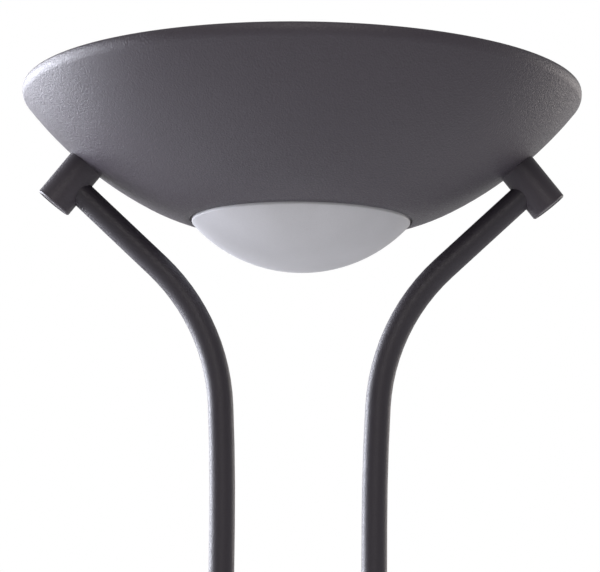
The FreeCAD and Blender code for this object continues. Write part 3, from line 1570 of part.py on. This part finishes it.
def build_lamp():
    pieces = [make_base_pad(), make_bottom_plate(), make_plate_screws(), make_ballast_plate(),
              make_base_cover(), make_cord_grommet(), *make_base_hardware(), make_base_collars(),
              make_terminal_block()]
    for word, side in SIDES:
        pieces += [make_lower_stem(word, side), make_middle_stem(word, side), make_upper_stem(word, side)]
    pieces += [make_stem_couplers(), make_spreader("spreader_lower", size.lower_joint_height),
               make_spreader("spreader_upper", size.upper_joint_height), make_spreader_screws()]
    pieces += [make_dimmer_front_shell(), make_dimmer_rear_shell(), make_dimmer_screws(),
               make_dimmer_control(), make_control_nut(), make_switch_slider(), make_dimmer_shaft(),
               make_dimmer_knob(), make_knob_screw(), make_dimmer_board(), make_dimmer_terminals(),
               make_dimmer_components()]
    pieces.append(make_shade_bowl())
    for word, side in SIDES:
        pieces.append(make_boss(word, side))
    pieces += [*make_boss_fittings(), make_glass_diffuser(), make_glass_gasket(), make_lamp_bridge(),
               make_bridge_screws(), make_glass_yoke(), make_yoke_pads(), make_reflector(),
               make_safety_glass(), make_safety_clips(), make_bulb_tube(), make_bulb_ends()]
    for word, side in SIDES:
        pieces += [make_lamp_holder(word, side), make_contact(word, side)]
    pieces += [make_holder_screws(), make_lead_lower(), make_lead_upper(), make_holder_wires()]
    return pieces


def check_document():
    for item in doc.Objects:
        if "Invalid" in item.State or "Error" in item.State:
            raise ValueError(f"{item.Label} is {item.State}")


def write_pieces(pieces):
    os.makedirs("parts", exist_ok=True)
    for piece in pieces:
        if piece.Shape.isNull() or not piece.Shape.isValid() or not piece.Shape.Solids:
            raise ValueError(f"{piece.Label} has no valid solid")
    for piece in pieces:
        piece.Shape.exportStep(f"parts/{piece.Label}.step")
        print(f"{piece.Label}: {len(piece.Shape.Solids)} solids, {piece.Shape.Volume / 1000:.2f} cm3")


lamp = build_lamp()
doc.recompute()
check_document()
write_pieces(lamp)
print(len(lamp), "pieces")
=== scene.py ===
import math
import bpy
from mathutils import Matrix, Vector


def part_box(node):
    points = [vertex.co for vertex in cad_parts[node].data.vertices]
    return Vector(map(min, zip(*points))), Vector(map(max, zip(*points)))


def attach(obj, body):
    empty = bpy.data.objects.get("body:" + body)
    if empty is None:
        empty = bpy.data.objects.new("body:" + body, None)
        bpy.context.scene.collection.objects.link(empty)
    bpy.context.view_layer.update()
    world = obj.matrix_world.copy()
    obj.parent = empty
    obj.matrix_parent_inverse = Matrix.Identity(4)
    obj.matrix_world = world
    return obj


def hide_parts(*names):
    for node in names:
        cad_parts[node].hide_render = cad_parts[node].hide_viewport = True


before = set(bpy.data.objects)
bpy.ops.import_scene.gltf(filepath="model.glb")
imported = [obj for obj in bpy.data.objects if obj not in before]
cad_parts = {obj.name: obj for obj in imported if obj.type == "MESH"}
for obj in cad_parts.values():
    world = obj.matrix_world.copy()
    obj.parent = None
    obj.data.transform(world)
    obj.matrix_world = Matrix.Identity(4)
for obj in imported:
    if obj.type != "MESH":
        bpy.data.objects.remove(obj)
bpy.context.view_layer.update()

bpy.ops.object.select_all(action="DESELECT")

# --- base pad and bottom plate ----------------------------------------------------------------------
# The lamp stands on a flat ring of black rubber, glued under a zinc-plated sheet steel plate that
# closes the base. Three small socket screws hold the plate to the ballast.


def make_finish(name, colour, roughness, metal=0.0, grain=0.0008, patch=0.03, tint=0.06, gloss=0.05,
                relief=0.0, stretch=(1, 1, 1)):
    """A finish whose colour and gloss vary over patches and grains (metres), with a fine relief."""
    finish = bpy.data.materials.new(name)
    finish.use_nodes = True
    nodes, links = finish.node_tree.nodes, finish.node_tree.links
    shader = nodes["Principled BSDF"]
    shader.inputs["Metallic"].default_value = metal
    place = nodes.new("ShaderNodeTexCoord")
    stretched = nodes.new("ShaderNodeMapping")
    stretched.inputs["Scale"].default_value = stretch
    links.new(place.outputs["Object"], stretched.inputs["Vector"])
    grains = nodes.new("ShaderNodeTexNoise")
    grains.name = "grains"
    grains.inputs["Scale"].default_value = 1 / grain
    grains.inputs["Detail"].default_value = 3
    patches = nodes.new("ShaderNodeTexNoise")
    patches.inputs["Scale"].default_value = 1 / patch
    patches.inputs["Detail"].default_value = 4
    for noise in (grains, patches):
        links.new(stretched.outputs["Vector"], noise.inputs["Vector"])
    together = nodes.new("ShaderNodeMath")
    together.operation = "ADD"
    links.new(grains.outputs["Fac"], together.inputs[0])
    links.new(patches.outputs["Fac"], together.inputs[1])
    usual_low, usual_high = 0.35, 0.65      # most of a noise pattern lies between these
    share = nodes.new("ShaderNodeMapRange")
    share.inputs["From Min"].default_value = 2 * usual_low
    share.inputs["From Max"].default_value = 2 * usual_high
    links.new(together.outputs["Value"], share.inputs["Value"])
    shade = nodes.new("ShaderNodeMix")
    shade.name = "shade"
    shade.data_type = "RGBA"
    shade.inputs["A"].default_value = (*[part * (1 - tint) for part in colour], 1)
    shade.inputs["B"].default_value = (*[part * (1 + tint) for part in colour], 1)
    links.new(share.outputs["Result"], shade.inputs["Factor"])
    links.new(shade.outputs["Result"], shader.inputs["Base Color"])
    dull = nodes.new("ShaderNodeMapRange")
    dull.inputs["From Min"].default_value = 0.3
    dull.inputs["From Max"].default_value = 0.7
    dull.inputs["To Min"].default_value = roughness - gloss
    dull.inputs["To Max"].default_value = roughness + gloss
    links.new(grains.outputs["Fac"], dull.inputs["Value"])
    links.new(dull.outputs["Result"], shader.inputs["Roughness"])
    if relief:
        bump = nodes.new("ShaderNodeBump")
        bump.name = "relief"
        bump.inputs["Distance"].default_value = relief
        links.new(grains.outputs["Fac"], bump.inputs["Height"])
        links.new(bump.outputs["Normal"], shader.inputs["Normal"])
    return finish


def dress(finish, *names):
    """Gives these CAD nodes their finish."""
    for name in names:
        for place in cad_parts[name].material_slots:
            place.material = finish


black_rubber = make_finish("black_rubber", (0.022, 0.022, 0.024), 0.72, grain=0.0006, patch=0.012,
                           tint=0.2, gloss=0.08, relief=0.00004)
zinc_plate = make_finish("zinc_plate", (0.60, 0.60, 0.58), 0.34, metal=1.0, grain=0.0009, patch=0.02,
                         tint=0.10, gloss=0.08, relief=0.000006)
screw_zinc = make_finish("screw_zinc", (0.66, 0.65, 0.61), 0.28, metal=1.0, grain=0.0004, patch=0.004,
                         tint=0.12, gloss=0.08, relief=0.000004)
dress(black_rubber, "base_pad", "cord_grommet")
dress(zinc_plate, "bottom_plate", "base_studs", "base_washers", "base_nuts", "stem_couplers",
      "control_nut", "dimmer_shaft", "boss_nipples", "boss_washers", "boss_nuts", "lamp_bridge")
dress(screw_zinc, "plate_screws", "spreader_screws", "dimmer_screws", "knob_screw", "boss_screws",
      "bridge_screws", "holder_screws")

# --- ballast ----------------------------------------------------------------------------------------
# A round plate of grey cast iron that keeps the lamp upright. It is left as cast, with a pocket for
# the nuts and the terminal block and a channel for the lead.

cast_iron = make_finish("cast_iron", (0.11, 0.105, 0.10), 0.68, metal=0.7, grain=0.0022, patch=0.03,
                        tint=0.25, gloss=0.12, relief=0.0003)
dress(cast_iron, "ballast_plate")

# --- base cover and collars -------------------------------------------------------------------------
# The cover is spun from sheet steel over the ballast. Two turned collars hide the holes that the
# stems go through. All of it has the fine, sandy, nearly black powder coat of the stems.

dark_coat = make_finish("dark_coat", (0.031, 0.026, 0.034), 0.49, grain=0.0009, patch=0.05, tint=0.02,
                        gloss=0.10, relief=0.00012)
dress(dark_coat, "base_cover", "base_collars")

# --- terminal block ---------------------------------------------------------------------------------
# A block of moulded natural nylon in the ballast's pocket, where the mains wires meet the inner lead.
# The dimmer's terminals and the slider of its switch are made of the same nylon.

natural_nylon = make_finish("natural_nylon", (0.70, 0.69, 0.63), 0.36, grain=0.0012, patch=0.008,
                            tint=0.05, gloss=0.05, relief=0.000008)
dress(natural_nylon, "terminal_block", "dimmer_terminals", "switch_slider")

# --- stems and spreaders ----------------------------------------------------------------------------
# Each stem is three lengths of steel tube, the top one bent, joined over threaded couplers. Two flat
# bars tie the pair together at the joints, each held by four small screws.

dress(dark_coat, "stem_lower_left", "stem_middle_left", "stem_upper_left", "stem_lower_right",
      "stem_middle_right", "stem_upper_right", "spreader_lower", "spreader_upper")

# --- dimmer -----------------------------------------------------------------------------------------
# Two moulded half shells clamp on both stems and hold a phenolic board with the control and its
# parts. The shells have the fine spark texture of their mould.

case_black = make_finish("case_black", (0.034, 0.034, 0.037), 0.52, grain=0.0005, patch=0.02, tint=0.10,
                         gloss=0.08, relief=0.00004)
knob_black = make_finish("knob_black", (0.030, 0.030, 0.032), 0.38, grain=0.0006, patch=0.008,
                         tint=0.10, gloss=0.06, relief=0.000015)
control_black = make_finish("control_black", (0.020, 0.020, 0.023), 0.28, grain=0.0008, patch=0.006,
                            tint=0.10, gloss=0.05, relief=0.000006)
phenolic_board = make_finish("phenolic_board", (0.25, 0.13, 0.045), 0.48, grain=0.0005, patch=0.005,
                             tint=0.22, gloss=0.08, relief=0.00001, stretch=(1, 1, 0.2))
component_black = make_finish("component_black", (0.045, 0.05, 0.07), 0.33, grain=0.0004, patch=0.004,
                              tint=0.18, gloss=0.07, relief=0.00001)
dress(case_black, "dimmer_front_shell", "dimmer_rear_shell")
dress(knob_black, "dimmer_knob")
dress(control_black, "dimmer_control")
dress(phenolic_board, "dimmer_board")
dress(component_black, "dimmer_components")

# --- dial marks -------------------------------------------------------------------------------------
# Eleven low dots of pale plastic round the knob grow from the lowest setting to the highest. A strip
# of the same plastic is pressed into the knob's groove and points at them.

pale_print = make_finish("pale_print", (0.66, 0.66, 0.63), 0.42, grain=0.0004, patch=0.004, tint=0.05,
                         gloss=0.06, relief=0.00001)
knob_low, knob_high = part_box("dimmer_knob")
knob_middle = (knob_low + knob_high) / 2
shell_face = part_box("dimmer_front_shell")[0].y
dial_radius = 0.0212
lowest_setting, dial_sweep, dot_count = math.radians(225), math.radians(270), 11
dot_radius, dot_height, dot_edge = 0.0011, 0.0004, 0.00024
smallest_dot = 0.45                         # its size as a share of the largest dot's
facing_front = math.radians(90)


def settle(piece, name):
    """Puts a shaped piece's place, turn and size into its mesh, and names it."""
    bpy.ops.object.mode_set(mode="OBJECT")
    bpy.ops.object.transform_apply(location=True, rotation=True, scale=True)
    piece.name = piece.data.name = name
    return piece


bpy.ops.mesh.primitive_cylinder_add(vertices=24, radius=dot_radius, depth=2 * dot_height,
                                    rotation=(facing_front, 0, 0))
dot = bpy.context.object
bpy.ops.object.mode_set(mode="EDIT")
bpy.ops.mesh.select_all(action="DESELECT")
bpy.ops.object.mode_set(mode="OBJECT")
for corner in dot.data.vertices:
    corner.select = corner.co.z > 0
bpy.ops.object.mode_set(mode="EDIT")
bpy.ops.mesh.bevel(offset=dot_edge, segments=3, affect="EDGES")
settle(dot, "dial_dots")
dots = []
for number in range(dot_count):
    angle = lowest_setting - dial_sweep * number / (dot_count - 1)
    growth = smallest_dot + (1 - smallest_dot) * number / (dot_count - 1)
    place = Matrix.Translation((knob_middle.x + dial_radius * math.cos(angle), shell_face,
                                knob_middle.z + dial_radius * math.sin(angle)))
    copy = dot if number == dot_count - 1 else dot.copy()
    if copy is not dot:
        copy.data = dot.data.copy()
        bpy.context.collection.objects.link(copy)
    copy.data.transform(place @ Matrix.Diagonal((growth, 1, growth, 1)))
    dots.append(copy)
bpy.ops.object.select_all(action="DESELECT")
for copy in dots:
    copy.select_set(True)
bpy.context.view_layer.objects.active = dot
bpy.ops.object.join()
bpy.ops.object.select_all(action="DESELECT")
dot.data.materials.append(pale_print)
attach(dot, "frame")

groove_start, groove_end, groove_depth = 0.0082, 0.0150, 0.0006
strip_width, strip_edge, strip_sink = 0.00112, 0.00012, 0.00036
strip_middle = (groove_start + groove_end) / 2
bpy.ops.mesh.primitive_cube_add(
    size=1, rotation=(0, -lowest_setting, 0),
    location=(knob_middle.x + strip_middle * math.cos(lowest_setting), knob_low.y + strip_sink,
              knob_middle.z + strip_middle * math.sin(lowest_setting)),
    scale=(groove_end - groove_start, groove_depth, strip_width))
strip = bpy.context.object
bpy.ops.object.transform_apply(location=True, rotation=True, scale=True)
bpy.ops.object.mode_set(mode="EDIT")
bpy.ops.mesh.bevel(offset=strip_edge, segments=3, affect="EDGES")
settle(strip, "pointer_strip")
strip.data.materials.append(pale_print)
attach(strip, "knob")

# --- bosses under the bowl --------------------------------------------------------------------------
# Turned steel bosses, shaped to the bowl at one end and cross-drilled for the stems. A disc closes
# the outer end over the screw that grips the stem.

boss_coat = make_finish("boss_coat", (0.044, 0.036, 0.046), 0.46, grain=0.0009, patch=0.05, tint=0.02,
                        gloss=0.10, relief=0.00008)
dress(boss_coat, "boss_left", "boss_right", "boss_caps")

# --- bowl -------------------------------------------------------------------------------------------
# Spun from 1.2 mm sheet steel: a wide shallow cone of two sweeping curves, a tight shoulder and a
# rim rolled inwards. Powder coated dark outside and white inside, where it throws the light up.


def turn(name, start, heading, moves, turns=160):
    """Turns an outline about the lamp's axis: runs are lengths, arcs are (bend, angle, steps)."""
    bpy.ops.object.select_all(action="DESELECT")
    bpy.ops.mesh.primitive_circle_add(vertices=3, radius=0.0001, location=(start[0], 0, start[1]))
    piece = bpy.context.object
    piece.name = piece.data.name = name
    bpy.ops.object.transform_apply(location=True)
    bpy.ops.object.mode_set(mode="EDIT")
    bpy.ops.mesh.select_all(action="SELECT")
    bpy.ops.mesh.merge(type="CENTER")
    across, up = start
    way = math.radians(heading)
    for move in moves:
        if isinstance(move, tuple):
            bend, angle, steps = move
            side = math.copysign(bend, angle)
            angle = math.radians(angle)
            centre = (across - side * math.sin(way), 0, up + side * math.cos(way))
            bpy.ops.mesh.spin(steps=steps, angle=angle, center=centre, axis=(0, 1, 0))
            way += angle
            across, up = centre[0] + side * math.sin(way), centre[2] - side * math.cos(way)
        else:
            step = (move * math.cos(way), 0, move * math.sin(way))
            bpy.ops.mesh.extrude_vertices_move(TRANSFORM_OT_translate={"value": step})
            across, up = across + step[0], up + step[2]
    bpy.ops.mesh.select_all(action="SELECT")
    bpy.ops.mesh.spin(steps=turns, angle=math.tau, center=(0, 0, 0), axis=(0, 0, 1))
    bpy.ops.mesh.select_all(action="SELECT")
    bpy.ops.mesh.remove_doubles(threshold=1e-5)
    bpy.ops.mesh.normals_make_consistent(inside=False)
    bpy.ops.mesh.faces_shade_smooth()
    bpy.ops.object.mode_set(mode="OBJECT")
    return piece


bowl_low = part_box("shade_bowl")[0]
opening_radius = 0.0598
bowl_wall = 0.0012
foot_bend, side_bend, shoulder_bend, rim_bend = 0.1177, 0.20537, 0.0068, 0.002
foot_slope, waist_slope, shoulder_slope, rim_start, rim_end = 14.7, 28.1, 51.1, 103.5, 305
bowl = turn("bowl", (opening_radius, bowl_low.z), foot_slope, [
    (foot_bend, waist_slope - foot_slope, 6), (side_bend, shoulder_slope - waist_slope, 12),
    (shoulder_bend, rim_start - shoulder_slope, 8), (rim_bend, rim_end - rim_start, 16)])
bowl_coat = make_finish("bowl_coat", (0.045, 0.037, 0.048), 0.46, grain=0.0010, patch=0.05, tint=0.02,
                        gloss=0.10, relief=0.00035)
bowl_white = make_finish("bowl_white", (0.80, 0.80, 0.78), 0.40, grain=0.0009, patch=0.05, tint=0.02,
                         gloss=0.05, relief=0.00002)
bowl.data.materials.append(bowl_coat)
bowl.data.materials.append(bowl_white)
wall = bowl.modifiers.new("wall", "SOLIDIFY")
wall.thickness = bowl_wall
wall.offset = -1
wall.use_even_offset = True
wall.material_offset = 1
bpy.ops.object.modifier_apply(modifier=wall.name)
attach(bowl, "frame")
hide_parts("shade_bowl")

# --- glass dish and gasket --------------------------------------------------------------------------
# Pressed glass, 4 mm thick, acid-etched all over. It drops through the bowl's opening and hangs by
# its flange on a ring of clear silicone.

glass_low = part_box("glass_diffuser")[0]
glass_wall, dome_bend, dome_slope = 0.004, 0.07904, 47.44
neck_edge, neck_height = 0.001, 0.00369
flange_reach, flange_edge, flange_side, flange_width = 0.0051, 0.0014, 0.0007, 0.0091
inner_neck, inner_edge, inner_slope = 0.00467, 0.003, 45.6125
glass = turn("glass_dish", (0, glass_low.z), 0, [
    (dome_bend, dome_slope, 28), (neck_edge, 90 - dome_slope, 5), neck_height, (neck_edge, -90, 4),
    flange_reach, (flange_edge, 90, 5), flange_side, (flange_edge, 90, 5), flange_width,
    (neck_edge, 90, 4), inner_neck, (inner_edge, inner_slope - 90, 5),
    (dome_bend - glass_wall, -inner_slope, 28)])
etched_glass = make_finish("etched_glass", (0.50, 0.495, 0.515), 0.50, grain=0.0006, patch=0.025,
                           tint=0.05, gloss=0.05, relief=0.00001)
glass.data.materials.append(etched_glass)
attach(glass, "frame")
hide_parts("glass_diffuser")
clear_silicone = make_finish("clear_silicone", (0.62, 0.61, 0.57), 0.42, grain=0.0007, patch=0.006,
                             tint=0.05, gloss=0.05, relief=0.00001)
dress(clear_silicone, "glass_gasket", "yoke_pads")

# --- lamp in the bowl -------------------------------------------------------------------------------
# A steel strip across the bowl, held under the nuts of the bosses, carries a bright aluminium trough
# with a quartz tube lamp between two ceramic holders, under a clear safety glass.

rolled_steel = make_finish("rolled_steel", (0.52, 0.52, 0.53), 0.30, metal=1.0, grain=0.0006,
                           patch=0.01, tint=0.10, gloss=0.08, relief=0.000006, stretch=(0.15, 1, 1))
bright_aluminium = make_finish("bright_aluminium", (0.86, 0.87, 0.88), 0.24, metal=1.0, grain=0.0009,
                               patch=0.02, tint=0.04, gloss=0.06, relief=0.000006, stretch=(0.1, 1, 1))
steatite = make_finish("steatite", (0.80, 0.77, 0.69), 0.50, grain=0.0006, patch=0.006, tint=0.07,
                       gloss=0.08, relief=0.00002)
satin_brass = make_finish("satin_brass", (0.72, 0.53, 0.24), 0.30, metal=1.0, grain=0.0005, patch=0.004,
                          tint=0.10, gloss=0.08, relief=0.000005)


def make_glass(name, colour, relief):
    """Glass that lets light through, with a trace of waviness."""
    clear = make_finish(name, colour, 0.02, grain=0.004, patch=0.03, tint=0.01, gloss=0.01,
                        relief=relief)
    shader = clear.node_tree.nodes["Principled BSDF"]
    shader.inputs["Transmission Weight"].default_value = 1.0
    shader.inputs["IOR"].default_value = 1.46
    return clear


cover_glass = make_glass("cover_glass", (0.93, 0.97, 0.95), relief=0.000004)
clear_quartz = make_glass("clear_quartz", (0.98, 0.98, 0.98), relief=0.000003)
dress(rolled_steel, "glass_yoke", "safety_clips")
dress(bright_aluminium, "reflector")
dress(steatite, "lamp_holder_left", "lamp_holder_right", "bulb_ends")
dress(satin_brass, "contact_left", "contact_right")
dress(cover_glass, "safety_glass")
dress(clear_quartz, "bulb_tube")

# --- filament ---------------------------------------------------------------------------------------
# A fine tungsten coil runs along the middle of the quartz tube, on two straight legs from the seals.
# Small wire rings hold it off the wall.

tungsten = make_finish("tungsten", (0.30, 0.29, 0.28), 0.38, metal=1.0, grain=0.0002, patch=0.003,
                       tint=0.12, gloss=0.08)
tube_low, tube_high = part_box("bulb_tube")
bulb_line = (tube_low + tube_high) / 2
coil_half, coil_radius, coil_wire, coil_turns, coil_steps = 0.0285, 0.0009, 0.00016, 76, 14
leg_end, leg_radius, leg_edge = 0.0350, 0.00022, 0.000088
ring_radius, ring_wire, ring_places = 0.0040, 0.00013, (-0.020, -0.007, 0.007, 0.020)
along_bulb = math.radians(90)

bpy.ops.mesh.primitive_circle_add(vertices=6, radius=coil_wire, rotation=(facing_front, 0, 0),
                                  location=(bulb_line.x - coil_half, bulb_line.y, bulb_line.z))
bpy.ops.object.transform_apply(location=False, rotation=True, scale=False)
coil = bpy.context.object
bpy.ops.object.mode_set(mode="EDIT")
bpy.ops.transform.translate(value=(0, 0, coil_radius))
bpy.ops.object.mode_set(mode="OBJECT")
winding = coil.modifiers.new("winding", "SCREW")
winding.axis = "X"
winding.angle = math.tau
winding.screw_offset = 2 * coil_half / coil_turns
winding.iterations = coil_turns
winding.steps = winding.render_steps = coil_steps
bpy.ops.object.modifier_apply(modifier="winding")
bpy.ops.object.mode_set(mode="EDIT")
bpy.ops.mesh.select_all(action="SELECT")
bpy.ops.mesh.fill_holes(sides=0)
bpy.ops.mesh.select_all(action="SELECT")
bpy.ops.mesh.normals_make_consistent(inside=False)
settle(coil, "filament")
filament = [coil]
for side in (-1, 1):
    bpy.ops.mesh.primitive_cylinder_add(
        vertices=12, radius=leg_radius, depth=leg_end - coil_half + 2 * leg_radius,
        rotation=(0, along_bulb, 0),
        location=(bulb_line.x + side * (leg_end + coil_half) / 2, bulb_line.y,
                  bulb_line.z + coil_radius))
    leg = bpy.context.object
    bpy.ops.object.mode_set(mode="EDIT")
    bpy.ops.mesh.bevel(offset=leg_edge, segments=2, affect="EDGES")
    filament.append(settle(leg, "filament_leg"))
for place in ring_places:
    bpy.ops.mesh.primitive_torus_add(
        major_radius=ring_radius, minor_radius=ring_wire, major_segments=40, minor_segments=6,
        rotation=(0, along_bulb, 0), location=(bulb_line.x + place, bulb_line.y, bulb_line.z))
    filament.append(settle(bpy.context.object, "filament_ring"))
    bpy.ops.mesh.primitive_cylinder_add(
        vertices=6, radius=ring_wire, depth=ring_radius - coil_radius,
        location=(bulb_line.x + place, bulb_line.y, bulb_line.z - (ring_radius + coil_radius) / 2))
    filament.append(settle(bpy.context.object, "filament_spoke"))
bpy.ops.object.select_all(action="DESELECT")
for wire in filament:
    wire.select_set(True)
bpy.context.view_layer.objects.active = coil
bpy.ops.object.join()
bpy.ops.object.shade_smooth_by_angle(angle=math.radians(50))
bpy.ops.object.select_all(action="DESELECT")
coil.data.materials.append(tungsten)
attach(coil, "frame")

# --- inner leads ------------------------------------------------------------------------------------
# A round black two-core lead runs up inside the right stem. In the bowl its wires go on in braided
# glass-fibre sleeves to the holders.

black_lead = make_finish("black_lead", (0.028, 0.028, 0.030), 0.42, grain=0.0006, patch=0.01, tint=0.12,
                         gloss=0.06, relief=0.00001)
glass_sleeve = make_finish("glass_sleeve", (0.72, 0.69, 0.60), 0.75, grain=0.0005, patch=0.004,
                           tint=0.12, gloss=0.10, relief=0.00008)
dress(black_lead, "lead_lower", "lead_upper")
dress(glass_sleeve, "holder_wires")

# --- floor, light and camera ------------------------------------------------------------------------
# A pale floor that fades into a white studio, open under the base so that the underside can be seen.
# Two large soft lights stand on the left, small ones on the right and in front. The camera is below
# the bowl and looks slightly up.

def ease(tree, source, starts, ends, first, last):
    """A smooth change from the first value to the last while the source runs from starts to ends."""
    change = tree.nodes.new("ShaderNodeMapRange")
    change.interpolation_type = "SMOOTHSTEP"
    change.inputs["From Min"].default_value = starts
    change.inputs["From Max"].default_value = ends
    change.inputs["To Min"].default_value = first
    change.inputs["To Max"].default_value = last
    tree.links.new(source, change.inputs["Value"])
    return change.outputs["Result"]


def combine(tree, operation, first, second):
    """One sum of two values."""
    result = tree.nodes.new("ShaderNodeMath")
    result.operation = operation
    tree.links.new(first, result.inputs[0])
    tree.links.new(second, result.inputs[1])
    return result.outputs["Value"]


def blend(tree, share, first, second):
    """Two surfaces or lights mixed by a share."""
    mixed = tree.nodes.new("ShaderNodeMixShader")
    for socket, source in zip(mixed.inputs, (share, first, second)):
        tree.links.new(source, socket)
    return mixed.outputs["Shader"]


floor_inset, floor_reach, floor_level = 0.002, 30, -0.0003
fade_start, fade_end, near_glow = 0.6, 5.0, 0.5
floor_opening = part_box("base_pad")[1].x - floor_inset
bpy.ops.mesh.primitive_circle_add(vertices=128, radius=floor_opening, location=(0, 0, floor_level))
floor = bpy.context.object
bpy.ops.object.mode_set(mode="EDIT")
bpy.ops.mesh.extrude_region_move()
bpy.ops.transform.resize(value=(floor_reach / floor_opening, floor_reach / floor_opening, 1))
bpy.ops.mesh.select_all(action="SELECT")
bpy.ops.mesh.normals_make_consistent(inside=False)
settle(floor, "floor")
if floor.data.polygons[0].normal.z < 0:
    floor.data.flip_normals()
pale_floor = make_finish("pale_floor", (0.84, 0.84, 0.84), 0.7, grain=0.02, patch=0.5, tint=0.01,
                         gloss=0.05)
tree = pale_floor.node_tree
distance = tree.nodes.new("ShaderNodeVectorMath")
distance.operation = "LENGTH"
tree.links.new(tree.nodes.new("ShaderNodeTexCoord").outputs["Object"], distance.inputs[0])
fade = ease(tree, distance.outputs["Value"], fade_start, fade_end, near_glow, 1.0)
rays = tree.nodes.new("ShaderNodeLightPath")
lifted = blend(tree, combine(tree, "MULTIPLY", rays.outputs["Is Camera Ray"], fade),
               tree.nodes["Principled BSDF"].outputs["BSDF"],
               tree.nodes.new("ShaderNodeEmission").outputs["Emission"])
open_below = blend(tree, tree.nodes.new("ShaderNodeNewGeometry").outputs["Backfacing"], lifted,
                   tree.nodes.new("ShaderNodeBsdfTransparent").outputs["BSDF"])
tree.links.new(open_below, tree.nodes["Material Output"].inputs["Surface"])
floor.data.materials.append(pale_floor)

world = bpy.data.worlds.new("studio")
bpy.context.scene.world = world
world.use_nodes = True
tree = world.node_tree
soft = tree.nodes["Background"]
soft.inputs["Color"].default_value = (1, 1, 1, 1)
soft.inputs["Strength"].default_value = 0.45
white = tree.nodes.new("ShaderNodeBackground")
white.inputs["Color"].default_value = (1, 1, 1, 1)
white.inputs["Strength"].default_value = 1.0
way = tree.nodes.new("ShaderNodeSeparateXYZ")
tree.links.new(tree.nodes.new("ShaderNodeTexCoord").outputs["Generated"], way.inputs["Vector"])
behind = ease(tree, way.outputs["Y"], -0.9, 0.1, 0.0, 0.9)      # dark in front, bright behind
overhead = ease(tree, way.outputs["Z"], 0.15, 0.75, 1.0, 0.35)  # dimmer towards the ceiling
mirrored = tree.nodes.new("ShaderNodeBackground")
tree.links.new(combine(tree, "MULTIPLY", behind, overhead), mirrored.inputs["Strength"])
rays = tree.nodes.new("ShaderNodeLightPath")
reflected = blend(tree, rays.outputs["Is Glossy Ray"], soft.outputs["Background"],
                  mirrored.outputs["Background"])
seen = combine(tree, "MAXIMUM", rays.outputs["Is Camera Ray"], rays.outputs["Is Transmission Ray"])
tree.links.new(blend(tree, seen, reflected, white.outputs["Background"]),
               tree.nodes["World Output"].inputs["Surface"])

lit_point = (0, 0, 1.6)


def add_soft_light(name, place, width, height, power, tone):
    """A rectangular soft light that faces the middle of the lamp's upper half."""
    bpy.ops.object.light_add(type="AREA", location=place)
    light = bpy.context.object
    light.name = name
    light.data.shape = "RECTANGLE"
    light.data.size, light.data.size_y = width, height
    light.data.energy = power
    light.data.color = tone
    light.rotation_euler = (Vector(place) - Vector(lit_point)).to_track_quat("Z", "Y").to_euler()
    light.visible_camera = False


add_soft_light("left_back_light", (-1.79, 1.26, 1.9), 1.2, 1.6, 76, (0.88, 0.90, 1))
add_soft_light("left_light", (-2.12, 0.57, 1.6), 1.1, 1.3, 38, (0.88, 0.90, 1))
add_soft_light("right_back_light", (1.65, 1.44, 1.8), 1.0, 1.0, 9, (1, 0.92, 0.88))
add_soft_light("front_light", (0, -1.91, 2.7), 1.2, 1.2, 13, (1, 0.95, 0.93))

bpy.ops.object.light_add(type="SUN", location=(0, 0, 4), rotation=(0.35, -0.15, 0))
sky_light = bpy.context.object
sky_light.name = "sky_light"
sky_light.data.energy = 0.4
sky_light.data.angle = 1.2

camera_place, camera_rise = (0.0032, -1.0851, 1.5393), math.radians(8.2)
camera_pan, camera_roll = 0.00314, math.radians(0.52)
bpy.ops.object.camera_add(location=camera_place)
camera = bpy.context.object
camera.data.lens = 123.2
camera.data.sensor_width = 36
camera.rotation_euler = (Matrix.Rotation(camera_pan, 4, "Z")
                         @ Matrix.Rotation(math.radians(90) + camera_rise, 4, "X")
                         @ Matrix.Rotation(camera_roll, 4, "Z")).to_euler()
bpy.context.scene.camera = camera
bpy.context.scene.view_settings.view_transform = "Standard"
